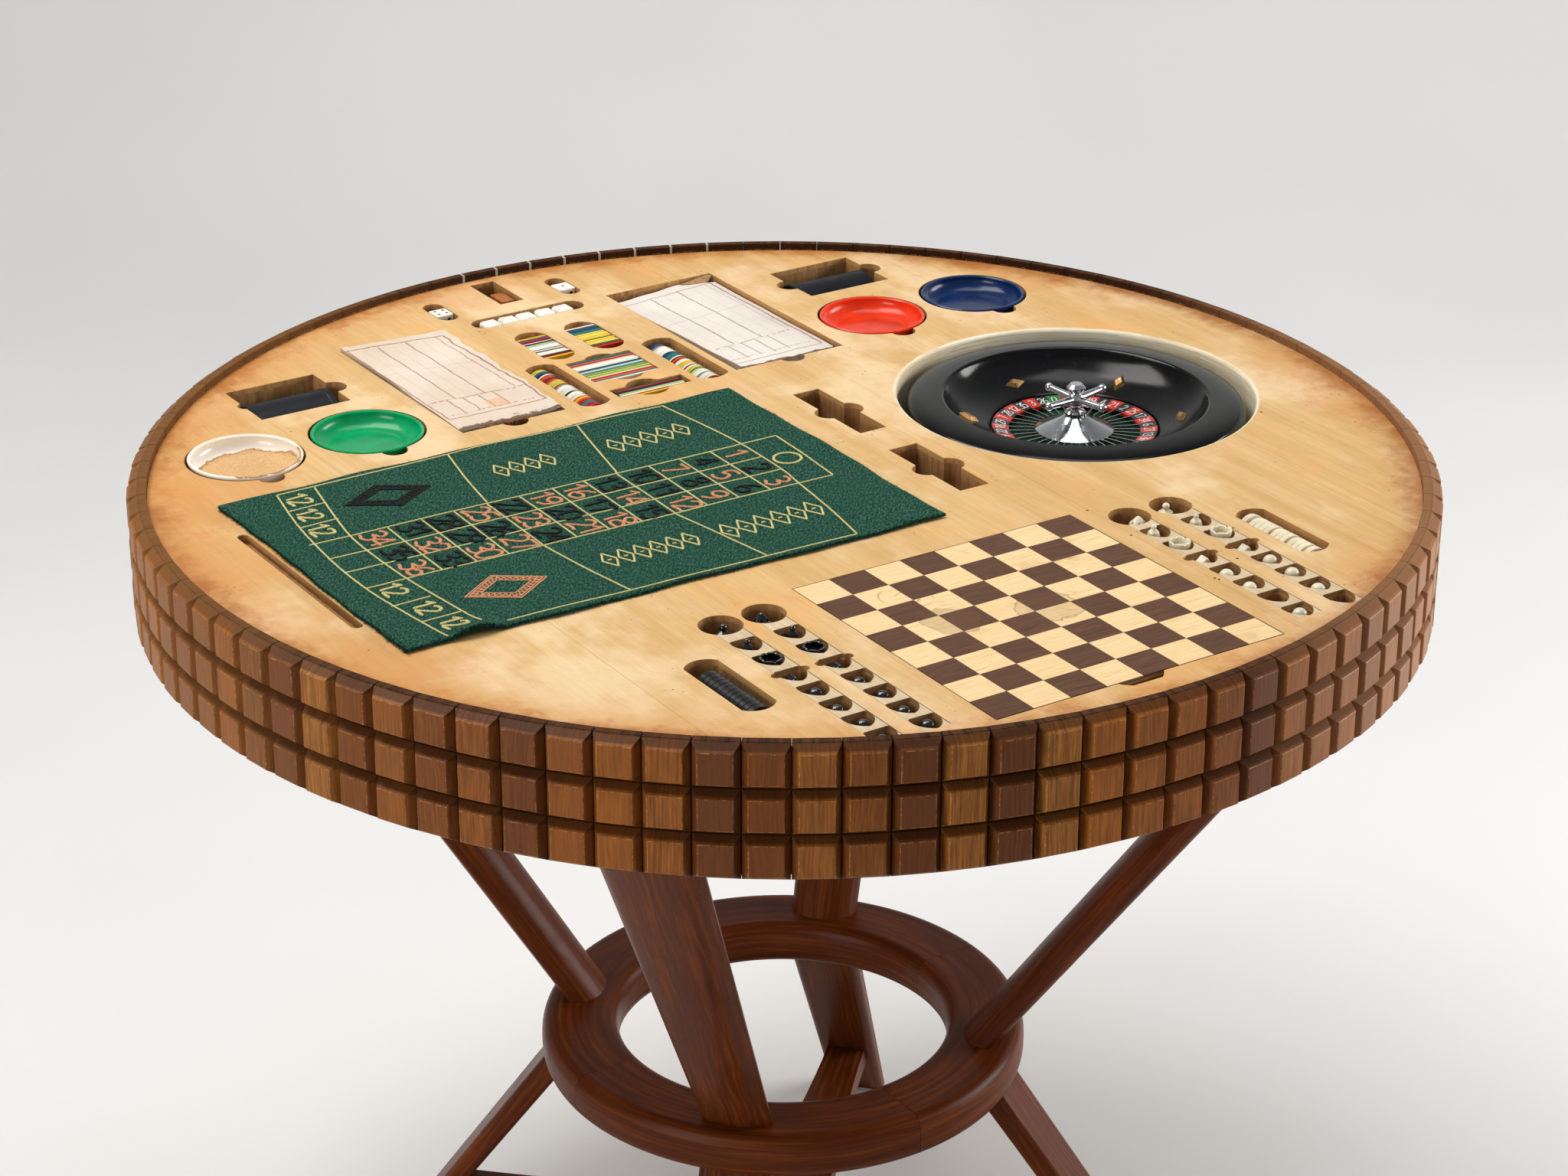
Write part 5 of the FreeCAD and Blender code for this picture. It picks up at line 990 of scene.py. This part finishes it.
# stray nap standing on the surface
for _ in range(2600):
    x, y = rnd.uniform(xa, xb), rnd.uniform(ya, yb)
    fibre(Vector((x, y, cloth_top(x, y) - 0.0001)), Vector((rnd.uniform(-1, 1), rnd.uniform(-1, 1), rnd.uniform(0.25, 0.8))).normalized(),
          rnd.uniform(0.0008, 0.0020), rnd.uniform(0.00006, 0.00013), 0.0004)
mesh_obj("cloth_nap", fv, ff, M["felt"], "cloth")

yel, blk, redt = Cord(), Cord(), Cord()


def line(cord, pts, **kw):
    cord.add([P(*p) for p in pts], cloth_top, **kw)


def spline(cord, pts, **kw):
    cord.add([P(*p) for p in smooth(pts, 10)], cloth_top, **kw)


YK = dict(r=0.00068, bead=0.0019, amp=0.25)
line(yel, [(-0.745, 0.268), (-0.40, 0.273), (-0.062, 0.266)], seed=1, **YK)
spline(yel, [(-0.745, 0.268), (-0.77, 0.14), (-0.785, 0.0), (-0.787, -0.11), (-0.778, -0.21), (-0.765, -0.315)], seed=2, **YK)
spline(yel, [(-0.683, 0.265), (-0.705, 0.16), (-0.720, 0.075), (-0.724, 0.0), (-0.722, -0.108), (-0.712, -0.21), (-0.702, -0.297)], seed=3, **YK)
line(yel, [(-0.670, -0.312), (-0.40, -0.318), (-0.085, -0.327)], seed=4, **YK)
spline(yel, [(-0.062, 0.268), (-0.050, 0.16), (-0.042, 0.063), (-0.043, -0.055), (-0.052, -0.12), (-0.068, -0.23), (-0.085, -0.326)], seed=5, **YK)
for pts in ([(-0.45, 0.270), (-0.472, 0.17), (-0.490, 0.072)], [(-0.22, 0.266), (-0.244, 0.16), (-0.265, 0.067)],
            [(-0.497, -0.112), (-0.486, -0.21), (-0.470, -0.315)], [(-0.272, -0.117), (-0.256, -0.21), (-0.240, -0.321)]):
    spline(yel, pts, seed=pts[0][0], **YK)
for a, b, y in ((-0.757, -0.694, 0.203), (-0.769, -0.705, 0.139), (-0.785, -0.721, -0.182), (-0.773, -0.708, -0.251)):
    line(yel, [(a, y), (b, y + 0.001)], seed=y, **YK)
for ya_, yb_, xe in ((0.074, 0.060, 0.022), (0.013, 0.000, -0.043), (-0.043, -0.058, -0.043), (-0.108, -0.119, 0.010)):
    slope = (yb_ - ya_) / 0.83
    line(yel, [(-0.787, ya_), (xe, ya_ + slope * (xe + 0.787))], seed=ya_, **YK)
line(yel, [(0.022, 0.060), (0.018, -0.03), (0.011, -0.119)], seed=9, **YK)
COLX = [-0.720, -0.660, -0.604, -0.549, -0.493, -0.437, -0.380, -0.325, -0.268, -0.210, -0.155, -0.099, -0.043]
for i, x in enumerate(COLX[1:-1]):
    dx = 0.001 * math.sin(2.1 * i)
    line(yel, [(x, 0.071 - 0.013 * (x + 0.787)), (x + dx - 0.002, -0.02), (x - 0.004 + dx, -0.109 - 0.010 * (x + 0.787))], seed=x, **YK)
spline(yel, [(-0.012 + 0.022 * math.cos(a), -0.025 + 0.021 * math.sin(a)) for a in [2 * math.pi * k / 12 for k in range(13)]], r=0.0010, bead=0.0021, amp=0.2, seed=12)

REDS = {1, 3, 5, 7, 9, 12, 14, 16, 18, 19, 21, 23, 25, 27, 30, 32, 34, 36}


def stitched(cord, text, u, v, size, seed, pitch=0.62, squash=1.0):
    """A number worked in thread, reading towards -Y with its tops towards +X."""
    cx, cy = P(u, v)
    thick = 0.00130 if cord is blk else 0.00118
    for k, st in enumerate(strokes(text, size, pitch)):
        pts = [(cx + y + 0.0003 * math.sin(9 * x / size + seed), cy - x * squash) for x, y in st]
        cord.add(pts, cloth_top, r=thick, bead=0.0015, amp=0.30, jitter=0.00030, step=0.0005, squat=0.5, seed=seed + k)


for c in range(12):
    for r_ in range(3):
        n_ = 3 * (11 - c) + r_ + 1
        u = (COLX[c] + COLX[c + 1]) / 2 - 0.001 * r_ + 0.0015 * math.sin(3.3 * n_)
        v = (0.043, -0.020, -0.081)[r_] - 0.0155 * (u + 0.787) + 0.001 * math.sin(1.7 * n_)
        stitched(redt if n_ in REDS else blk, str(n_), u, v, 0.0195, n_ * 1.37, pitch=0.60, squash=1.02)
for u, v in ((-0.725, 0.236), (-0.737, 0.176), (-0.748, 0.115), (-0.757, -0.133), (-0.745, -0.212), (-0.738, -0.279)):
    stitched(yel, "12", u, v, 0.0165, u * 31 + v, pitch=0.60)

for cord, cu, cv, a, b in ((blk, -0.603, 0.177, 0.072, 0.045), (redt, -0.615, -0.211, 0.067, 0.045)):
    for k, (sa, sb) in enumerate(((1.0, 1.0), (0.90, 0.90), (0.62, 0.60))):
        line(cord, [(cu + a * sa, cv), (cu, cv + b * sb), (cu - a * sa, cv), (cu, cv - b * sb), (cu + a * sa, cv)], r=0.00085 if cord is blk else 0.00060, bead=0.0016, seed=cu + k)
    for q in range(4):
        sx, sy = ((1, 1), (-1, 1), (-1, -1), (1, -1))[q]
        zig = []
        for i in range(15):
            t = i / 14
            s_ = 0.88 if i % 2 else 0.66
            zig.append((cu + sx * a * s_ * (1 - t), cv + sy * b * s_ * t))
        line(cord, zig, r=0.00072 if cord is blk else 0.00048, bead=0.0014, seed=q + cu)

# plain running lozenges in the four wide panels
for cu, cv, half, h, n_ in ((-0.370, 0.170, 0.055, 0.024, 4), (-0.150, 0.164, 0.075, 0.026, 5), (-0.372, -0.209, 0.083, 0.025, 6), (-0.163, -0.214, 0.090, 0.027, 6)):
    w_ = half / n_
    for k in range(n_):
        m_ = cu - half + (2 * k + 1) * w_
        line(yel, [(m_ + w_ * 0.86, cv), (m_, cv + h), (m_ - w_ * 0.86, cv), (m_, cv - h), (m_ + w_ * 0.86, cv)], r=0.00075, bead=0.0017, amp=0.28, seed=m_)
        line(yel, [(m_ - w_ * 0.25, cv), (m_ + w_ * 0.25, cv)], r=0.0008, bead=0.0016, seed=m_ + 1)
yel.make("stitching_yellow", M["th_y"], "cloth", "felt_green")
blk.make("stitching_black", M["th_k"], "cloth", "felt_green")
redt.make("stitching_red", M["th_r"], "cloth", "felt_green")

# ================================================================ score pads
def paper(name, left):
    g = Graph(name)
    uv = g.xyz(g.tc.outputs["UV"])
    u, v = uv[0], uv[1]
    big = g.noise(g.scaled((14.0, 14.0, 14.0)), 1.0, 4.0, 0.6)
    fib = g.noise(g.scaled((900.0, 900.0, 900.0)), 1.0, 3.0, 0.6)
    if left:
        base = g.ramp(big, [(0.3, rgb(208, 188, 168)), (0.7, rgb(224, 209, 192))])
    else:
        base = g.ramp(big, [(0.3, rgb(212, 203, 193)), (0.7, rgb(227, 220, 211))])
    base = g.mix(g.lerp(fib, 0.5, 0.85, 0.0, 0.25), base, rgb(204, 190, 172))
    wob = g.m("MULTIPLY", g.m("SUBTRACT", g.noise(g.comb(g.m("MULTIPLY", v, 26.0), g.m("MULTIPLY", u, 3.0), 0.0), 1.0, 3.0, 0.5), 0.5), 0.009 if left else 0.005)
    uw, vw = g.m("ADD", u, wob), g.m("ADD", v, g.m("MULTIPLY", g.m("SUBTRACT", g.noise(g.comb(g.m("MULTIPLY", u, 40.0), 0.0, 4.0), 1.0, 2.0), 0.5), 0.006))

    def vline(u0, u1, v0, v1, w, k):
        """from (u0 at the near end v0) to (u1 at the far end v1)"""
        at = g.lerp(vw, v0, v1, u0, u1)
        d = g.band(g.m("SUBTRACT", uw, at), 0.0, w * 0.36, w * 0.46)
        inside = g.m("MULTIPLY", g.step(v, v0 - 0.001, v0 + 0.001), g.step(v, v1 + 0.001, v1 - 0.001))
        return g.m("MULTIPLY", g.m("MULTIPLY", d, inside), k)

    def hline(v0, v1, u0, u1, w, k, broken=0.0):
        at = g.lerp(u, u0, u1, v0, v1)
        d = g.band(g.m("SUBTRACT", vw, at), 0.0, w * 0.36, w * 0.46)
        inside = g.m("MULTIPLY", g.step(u, u0 - 0.001, u0 + 0.001), g.step(u, u1 + 0.001, u1 - 0.001))
        o = g.m("MULTIPLY", g.m("MULTIPLY", d, inside), k)
        if broken:
            o = g.m("MULTIPLY", o, g.step(g.noise(g.comb(g.m("MULTIPLY", u, 150.0), v0 * 10, 0.0), 1.0, 2.0), broken - 0.06, broken + 0.06))
        return o
    if left:
        ink = [vline(-0.377, -0.376, 0.403, 0.764, 0.0024, 0.75), vline(-0.325, -0.325, 0.475, 0.750, 0.0024, 0.7), vline(-0.273, -0.274, 0.475, 0.748, 0.0024, 0.75),
               vline(-0.218, -0.221, 0.475, 0.744, 0.0022, 0.55), vline(-0.203, -0.210, 0.400, 0.744, 0.0026, 0.85),
               vline(-0.352, -0.351, 0.475, 0.748, 0.0012, 0.22), vline(-0.299, -0.301, 0.475, 0.746, 0.0012, 0.22), vline(-0.245, -0.248, 0.475, 0.742, 0.0012, 0.22),
               hline(0.763, 0.744, -0.376, -0.210, 0.0034, 0.75), hline(0.632, 0.612, -0.374, -0.222, 0.0022, 0.2),
               hline(0.482, 0.470, -0.374, -0.205, 0.0040, 0.55, 0.46), hline(0.403, 0.399, -0.377, -0.203, 0.0026, 0.8),
               vline(-0.340, -0.341, 0.413, 0.478, 0.0024, 0.7), vline(-0.313, -0.314, 0.413, 0.477, 0.0024, 0.7), vline(-0.285, -0.287, 0.413, 0.475, 0.0024, 0.7),
               vline(-0.259, -0.261, 0.413, 0.473, 0.0024, 0.7), hline(0.417, 0.413, -0.368, -0.216, 0.0040, 0.5, 0.5)]
        hue, st = rgb(124, 52, 42), (-0.276, 0.430, 0.0175)
    else:
        ink = [vline(0.141, 0.126, 0.366, 0.706, 0.0026, 0.65), vline(0.190, 0.184, 0.450, 0.712, 0.0026, 0.75), vline(0.248, 0.243, 0.450, 0.722, 0.0026, 0.75),
               vline(0.306, 0.304, 0.455, 0.728, 0.0018, 0.4), vline(0.318, 0.315, 0.373, 0.728, 0.0028, 0.8),
               vline(0.164, 0.153, 0.445, 0.708, 0.0012, 0.2), vline(0.219, 0.213, 0.447, 0.716, 0.0012, 0.2), vline(0.277, 0.274, 0.452, 0.724, 0.0012, 0.2),
               hline(0.706, 0.728, 0.126, 0.315, 0.0030, 0.6), hline(0.582, 0.606, 0.131, 0.316, 0.0020, 0.3), hline(0.441, 0.457, 0.139, 0.306, 0.0040, 0.5, 0.46),
               hline(0.366, 0.374, 0.141, 0.318, 0.0026, 0.6), vline(0.176, 0.174, 0.382, 0.443, 0.0026, 0.65), vline(0.204, 0.202, 0.382, 0.446, 0.0026, 0.65),
               vline(0.231, 0.230, 0.382, 0.449, 0.0026, 0.65), vline(0.259, 0.258, 0.382, 0.452, 0.0026, 0.65), hline(0.384, 0.392, 0.146, 0.306, 0.0040, 0.4, 0.5)]
        hue, st = rgb(128, 58, 52), (0.312, 0.520, 0.0040)
    ink_m = g.any(*ink)
    fade = g.lerp(g.noise(g.scaled((420.0, 420.0, 420.0)), 1.0, 3.0, 0.7), 0.3, 0.62, 0.45, 1.0)
    base = g.mix(g.m("MULTIPLY", ink_m, fade), base, hue)
    du = g.m("POWER", g.m("ABSOLUTE", g.m("DIVIDE", g.m("SUBTRACT", u, st[0]), st[2])), 4.0)
    dv = g.m("POWER", g.m("ABSOLUTE", g.m("DIVIDE", g.m("SUBTRACT", v, st[1]), st[2])), 4.0)
    stain = g.step(g.m("ADD", g.m("ADD", du, dv), g.m("MULTIPLY", big, 0.5)), 1.35, 0.95)
    base = g.mix(g.m("MULTIPLY", stain, 0.42), base, rgb(222, 150, 92))
    if left:
        torn = g.step(g.m("ADD", v, g.m("MULTIPLY", g.noise(g.comb(g.m("MULTIPLY", u, 60.0), g.m("MULTIPLY", v, 90.0), 0.0), 1.0, 4.0, 0.7), 0.05)), 0.3895, 0.3860)
        base = g.mix(g.m("MULTIPLY", torn, 0.85), base, rgb(72, 48, 28))
    side = g.step(g.m("ABSOLUTE", g.nrm()[2]), 0.6, 0.2)
    lay = g.noise(g.comb(0.0, 0.0, g.m("MULTIPLY", g.xyz()[2], 3800.0)), 1.0, 2.0)
    base = g.mix(side, base, g.ramp(lay, [(0.35, rgb(150, 124, 98)), (0.6, rgb(214, 196, 172))]))
    n = g.bump(g.m("ADD", fib, g.m("MULTIPLY", big, 2.0)), 0.0003, 0.3)
    return g.done(base, 0.85, 0.0, n, spec=0.2)


def card_brown(name):
    g = Graph(name)
    n1 = g.noise(g.scaled((260.0, 260.0, 260.0)), 1.0, 4.0, 0.7)
    n2 = g.noise(g.scaled((60.0, 60.0, 60.0)), 1.0, 3.0)
    c = g.ramp(n1, [(0.3, rgb(70, 44, 24)), (0.5, rgb(112, 74, 42)), (0.7, rgb(158, 112, 70))])
    c = g.mix(g.lerp(n2, 0.4, 0.7, 0.0, 0.6), c, rgb(52, 34, 20))
    return g.done(c, 0.85, 0.0, g.bump(n1, 0.0006, 0.8), spec=0.2)


M["paper_l"], M["paper_r"], M["card"] = paper("paper_left", True), paper("paper_right", False), card_brown("card_brown")


def leaf_stack(name, ul, ur, vn, vf, depth, floor_z, x_lo, x_hi, y_lo, y_hi, mat, body, n_leaf, seed, replaces=(), over=0.0):
    """A pad of leaves: outlines are given as seen on the plane of the top, and brought to their own depth."""
    na, nb = 26, 44
    vs, fs, uvs = [], [], []
    r2 = random.Random(seed)
    for k in range(n_leaf):
        off = (r2.uniform(-0.0005, 0.0005) if k else 0.0, r2.uniform(-0.0006, 0.0006) if k else 0.0)
        shrink = 0.0 if k == 0 else r2.uniform(0.0, 0.0012)
        base = len(vs)
        for layer in range(2):
            for j in range(nb + 1):
                for i in range(na + 1):
                    a, b = i / na, j / nb
                    v0 = vn + (0.75 - vn) * b
                    u = ul(v0) + (ur(v0) - ul(v0)) * a
                    v = vn_at(u, vn, seed) + (vf(u) - vn_at(u, vn, seed)) * b
                    d = depth(a, b)
                    z_top = Z_TOP - d
                    t = k / n_leaf
                    zt = z_top - t * (z_top - floor_z) - layer * ((z_top - floor_z) / n_leaf * 0.86)
                    if k == 0:
                        zt += 0.0002 * math.sin(90 * u + 40 * v) * (1 - layer)
                    x = U(u) + 1.19 * d
                    y = V(v) + 1.84 * d
                    x = min(max(x + off[0] + (0.5 - a) * shrink, x_lo), x_hi)
                    if over and k == 0:      # the top leaf lies a little over the edge of its pocket
                        e = max(0.0, (a - 0.86) / 0.14)
                        x += over * e * (0.55 + 0.30 * math.sin(21 * b + 1) + 0.22 * math.sin(57 * b + 2)) * min(1.0, 6 * b)
                        e = max(e, max(0.0, (b - 0.86) / 0.14))
                        zt = zt * (1 - e) + max(zt, Z_TOP + 0.0007 - 0.0004 * layer) * e
                    y = min(max(y + off[1] + (0.5 - b) * shrink, y_lo), y_hi if k else y_hi + 0.004)
                    vs.append((x, y, zt))
                    uvs.append((u, v))
        rw = na + 1
        lo_ = base + rw * (nb + 1)
        for j in range(nb):
            for i in range(na):
                a = base + j * rw + i
                fs.append((a, a + 1, a + rw + 1, a + rw))
                b = lo_ + j * rw + i
                fs.append((b, b + rw, b + rw + 1, b + 1))
        for i in range(na):
            a, b = base + i, lo_ + i
            fs.append((a, b, b + 1, a + 1))
            a, b = base + nb * rw + i, lo_ + nb * rw + i
            fs.append((a, a + 1, b + 1, b))
        for j in range(nb):
            a, b = base + j * rw, lo_ + j * rw
            fs.append((a, a + rw, b + rw, b))
            a, b = base + j * rw + na, lo_ + j * rw + na
            fs.append((a, b, b + rw, a + rw))
    o = mesh_obj(name, vs, fs, mat, body, smooth=False, replaces=replaces)
    uvl = o.data.uv_layers.new(name="UVMap")
    for lp in o.data.loops:
        uvl.data[lp.index].uv = uvs[lp.vertex_index]
    return o


def vn_at(u, vn, seed):
    """Slightly ragged near end."""
    return vn + 0.0022 * math.sin(140 * u + seed) * math.sin(61 * u) + 0.0012 * math.sin(330 * u)


def interp(x, pts):
    return float(np.interp(x, [p[0] for p in pts], [p[1] for p in pts]))


b0, b1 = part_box("pad_left")
leaf_stack("score_pad_left", lambda v: interp(v, [(0.35, -0.384), (0.50, -0.381), (0.60, -0.3745), (0.70, -0.3775), (0.75, -0.3785)]),
           lambda v: interp(v, [(0.35, -0.1925), (0.45, -0.1955), (0.55, -0.1965), (0.75, -0.1965)]), 0.352,
           lambda u: interp(u, [(-0.38, 0.784), (-0.36, 0.779), (-0.33, 0.775), (-0.27, 0.771), (-0.20, 0.768)]),
           lambda a, b: (0.0002 + 0.0006 * a) * (1 - b) + (-0.0030 + 0.0024 * a) * b ** 1.3 + 0.0004 * math.sin(9 * b + 5 * a),
           b0.z + 0.0018, -0.1774, -0.0878, b0.y - 0.001, 0.3834, M["paper_l"], "score_pad_left", 7, 3, replaces=["pad_left"], over=0.0042)
b0, b1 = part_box("pad_right")
leaf_stack("score_pad_right", lambda v: interp(v, [(0.35, 0.1415), (0.73, 0.1255)]), lambda v: interp(v, [(0.35, 0.3255), (0.75, 0.3250)]), 0.350,
           lambda u: interp(u, [(0.12, 0.727), (0.20, 0.738), (0.266, 0.750), (0.30, 0.736), (0.33, 0.724)]),
           lambda a, b: (0.0006 + 0.0036 * a) * (1 - b) + (0.0052 - 0.0010 * a) * b + 0.0003 * math.sin(8 * b + 4 * a),
           b0.z + 0.0016, 0.0701, 0.1712, 0.1786, 0.3902, M["paper_r"], "score_pad_right", 5, 8, replaces=["pad_right"])


def ragged_slab(name, x0, x1, y0, y1, z0, z1, mat, body, seed, amp_near, amp_far, n=60, tilt=0.0):
    """A strip of card with torn long edges."""
    r3 = random.Random(seed)
    vs, fs = [], []
    for i in range(n + 1):
        t = i / n
        x = x0 + (x1 - x0) * t
        a = y0 + amp_near * (r3.random() - 0.3)
        b = y1 + amp_far * (r3.random() - 0.5) + amp_far * 0.8 * math.sin(7 * t + seed)
        m_ = (a + b) / 2
        dz = 0.0003 * (r3.random() - 0.5)
        for y, z in ((a, z0), (a, z1 + dz - 0.0004), (a + 0.0006, z1 + dz), (m_, z1 + dz + tilt), (b - 0.0005, z1 + dz * 2), (b, z1 - 0.0005), (b, z0)):
            vs.append((x, y, z))
    for i in range(n):
        for j in range(7):
            a, b = i * 7 + j, i * 7 + (j + 1) % 7
            fs.append((a, b, b + 7, a + 7))
    fs.append(tuple(reversed(range(7))))
    fs.append(tuple(n * 7 + j for j in range(7)))
    return mesh_obj(name, vs, fs, mat, body, smooth=False)


ragged_slab("pad_left_binding", U(-0.3835), U(-0.1935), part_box("pad_left")[0].y - 0.0055, V(0.3525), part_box("pad_left")[0].z, Z_TOP - 0.0004, M["card"], "score_pad_left", 5, 0.0012, 0.0022)
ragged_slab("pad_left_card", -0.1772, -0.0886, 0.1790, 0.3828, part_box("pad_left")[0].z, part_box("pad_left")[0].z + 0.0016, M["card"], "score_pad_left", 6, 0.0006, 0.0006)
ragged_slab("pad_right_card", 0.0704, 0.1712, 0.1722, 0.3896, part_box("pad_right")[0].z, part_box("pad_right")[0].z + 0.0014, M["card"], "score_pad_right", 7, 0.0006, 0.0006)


def curled_corner():
    """The dog-eared far corner of the lower pad, folded up and over."""
    pts = [(0.266, 0.748, 0.0034), (0.300, 0.756, 0.0020), (0.334, 0.764, 0.0006), (0.336, 0.752, 0.0008), (0.322, 0.738, 0.0034), (0.306, 0.7255, 0.0050)]
    vs, fs, n = [], [], 12
    top_, low_ = pts[:3], pts[:2:-1]
    def edge(pl, t):
        s = t * (len(pl) - 1)
        i = min(int(s), len(pl) - 2)
        f = s - i
        return [pl[i][k] * (1 - f) + pl[i + 1][k] * f for k in range(3)]
    low_ = [pts[0], pts[5], pts[4], pts[3]]
    for lay in range(2):
        for i in range(n + 1):
            for j in range(7):
                a, b = edge(top_, i / n), edge(low_, i / n)
                q = [a[k] * (1 - j / 6) + b[k] * j / 6 for k in range(3)]
                d = q[2] - 0.0010 * math.sin(math.pi * j / 6) * (i / n) + lay * 0.0004
                vs.append((min(U(q[0]) + 1.19 * d, 0.1712), min(V(q[1]) + 1.84 * d, 0.3897), Z_TOP - d))
    m_ = (n + 1) * 7
    for i in range(n):
        for j in range(6):
            a = i * 7 + j
            fs.append((a, a + 7, a + 8, a + 1))
            fs.append((a + m_, a + m_ + 1, a + m_ + 8, a + m_ + 7))
        for j in (0, 6):
            a = i * 7 + j
            q = (a, a + m_, a + m_ + 7, a + 7)
            fs.append(q if j == 0 else q[::-1])
    for i in (0, n):
        for j in range(6):
            a = i * 7 + j
            q = (a, a + 1, a + m_ + 1, a + m_)
            fs.append(q if i == 0 else q[::-1])
    g = Graph("paper_underside")
    n1 = g.noise(g.scaled((300.0, 300.0, 300.0)), 1.0, 4.0, 0.7)
    c = g.ramp(n1, [(0.3, rgb(140, 102, 66)), (0.7, rgb(186, 148, 106))])
    mat = g.done(c, 0.85, 0.0, g.bump(n1, 0.0004, 0.5), spec=0.2)
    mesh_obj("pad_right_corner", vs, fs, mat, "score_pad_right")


curled_corner()

# ======================================================= numerals on the ring
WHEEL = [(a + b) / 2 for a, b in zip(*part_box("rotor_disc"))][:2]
ORDER = (0, 32, 15, 19, 4, 21, 2, 25, 17, 34, 6, 27, 13, 36, 11, 30, 8, 23, 10, 5, 24, 16, 33, 1, 20, 14, 31, 9, 22, 18, 29, 7, 28, 12, 35, 3, 26)


def ring_z(x, y):
    r = math.hypot(x - WHEEL[0], y - WHEEL[1])
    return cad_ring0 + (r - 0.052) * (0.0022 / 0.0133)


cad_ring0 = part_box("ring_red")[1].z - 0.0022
num = Cord()
for k, n_ in enumerate(ORDER):
    a = math.radians(69.0 - k * 360.0 / 37)
    up, right = (math.cos(a), math.sin(a)), (math.sin(a), -math.cos(a))
    cx, cy = WHEEL[0] + 0.0588 * up[0], WHEEL[1] + 0.0588 * up[1]
    for st in strokes(str(n_), 0.0078, 0.62):
        pts = [(cx + right[0] * x * 0.80 + up[0] * y, cy + right[1] * x * 0.80 + up[1] * y) for x, y in st]
        num.add(pts, ring_z, r=0.00055, squat=0.10, step=0.0004, amp=0.0, jitter=0.0, sides=6, lift=0.00002)
g_ = Graph("numeral_white")
nz = g_.noise(g_.scaled((900.0, 900.0, 900.0)), 1.0, 4.0, 0.7)
M["numeral"] = g_.done(g_.ramp(nz, [(0.3, rgb(176, 170, 158)), (0.6, rgb(244, 242, 236))]), 0.4, 0.0, g_.bump(nz, 0.0001, 0.4))
num.make("ring_numerals", M["numeral"], "rotor", slot="die_white")

# ================================================================= the studio
scene = bpy.context.scene


def sweep():
    """Floor running up into a plain backdrop."""
    w, pts = 9.0, []
    for k in range(-60, 1):
        pts.append((k * 0.2, 0.0))
    R = 1.6
    pts = [(-9.0, 0.0), (-3.0, 0.0), (0.0, 0.0), (2.2, 0.0)]
    for k in range(1, 17):
        a = math.pi / 2 * k / 16
        pts.append((2.2 + R * math.sin(a), R - R * math.cos(a)))
    pts.append((2.2 + R, 7.0))
    d = Vector((math.sin(math.radians(33.14)), math.cos(math.radians(33.14)), 0))
    s = Vector((d.y, -d.x, 0))
    vs, fs = [], []
    for p, z in pts:
        for q in (-w, w):
            vs.append(tuple(d * p + s * q + Vector((0, 0, z))))
    for i in range(len(pts) - 1):
        fs.append((2 * i, 2 * i + 1, 2 * i + 3, 2 * i + 2))
    me = bpy.data.meshes.new("studio_floor")
    me.from_pydata(vs, [], fs)
    me.polygons.foreach_set("use_smooth", [True] * len(me.polygons))
    g = Graph("studio_floor")
    n = g.noise(g.scaled((1.2, 1.2, 1.2)), 1.0, 2.0)
    me.materials.append(g.done(g.ramp(n, [(0.3, rgb(222, 222, 221)), (0.7, rgb(228, 228, 227))]), 0.75, 0.0, spec=0.2))
    o = bpy.data.objects.new("studio_floor", me)
    scene.collection.objects.link(o)
    return o


floor = sweep()


def softbox(name, loc, target, sx, sy, power, col=(1, 1, 1)):
    l = bpy.data.lights.new(name, "AREA")
    l.shape = "RECTANGLE"
    l.size, l.size_y, l.energy, l.color = sx, sy, power, col
    o = bpy.data.objects.new(name, l)
    o.location = loc
    o.rotation_euler = (Vector(target) - Vector(loc)).to_track_quat("-Z", "Y").to_euler()
    scene.collection.objects.link(o)
    return o


softbox("key_softbox", (-0.8, 1.0, 3.3), (0, 0, 0.7), 1.8, 1.8, 68, (1.0, 0.985, 0.95))
softbox("fill_softbox", (3.1, -1.2, 1.35), (0, 0, 0.62), 2.0, 1.6, 100, (1.0, 0.99, 0.97))
softbox("front_softbox", (-3.3, -0.9, 1.25), (0, 0, 0.62), 1.6, 1.7, 52, (1.0, 0.99, 0.97))
softbox("top_softbox", (0.7, 0.5, 3.9), (0, 0, 0.7), 1.6, 1.6, 20)

world = bpy.data.worlds.new("studio")
world.use_nodes = True
world.node_tree.nodes["Background"].inputs[0].default_value = (0.97, 0.975, 1.0, 1)
world.node_tree.nodes["Background"].inputs[1].default_value = 0.24
scene.world = world
scene.view_settings.view_transform = "Standard"
scene.view_settings.look = "None"
scene.view_settings.exposure = 0.0

cam = bpy.data.cameras.new("camera")
cam.sensor_width, cam.lens = 36.0, 85.2
cam.clip_end = 60
co = bpy.data.objects.new("camera", cam)
scene.collection.objects.link(co)
a_, e_, roll = math.radians(-33.14), math.radians(24.557), math.radians(0.2)
back = Vector((math.sin(a_) * math.cos(e_), -math.cos(a_) * math.cos(e_), math.sin(e_)))
right_ = (-back).cross(Vector((0, 0, 1))).normalized()
up_ = right_.cross(-back)
r2_ = right_ * math.cos(roll) + up_ * math.sin(roll)
u2_ = -right_ * math.sin(roll) + up_ * math.cos(roll)
co.matrix_world = Matrix(((r2_.x, u2_.x, back.x, -1.4093), (r2_.y, u2_.y, back.y, -2.1578), (r2_.z, u2_.z, back.z, 1.8257), (0, 0, 0, 1)))
scene.camera = co

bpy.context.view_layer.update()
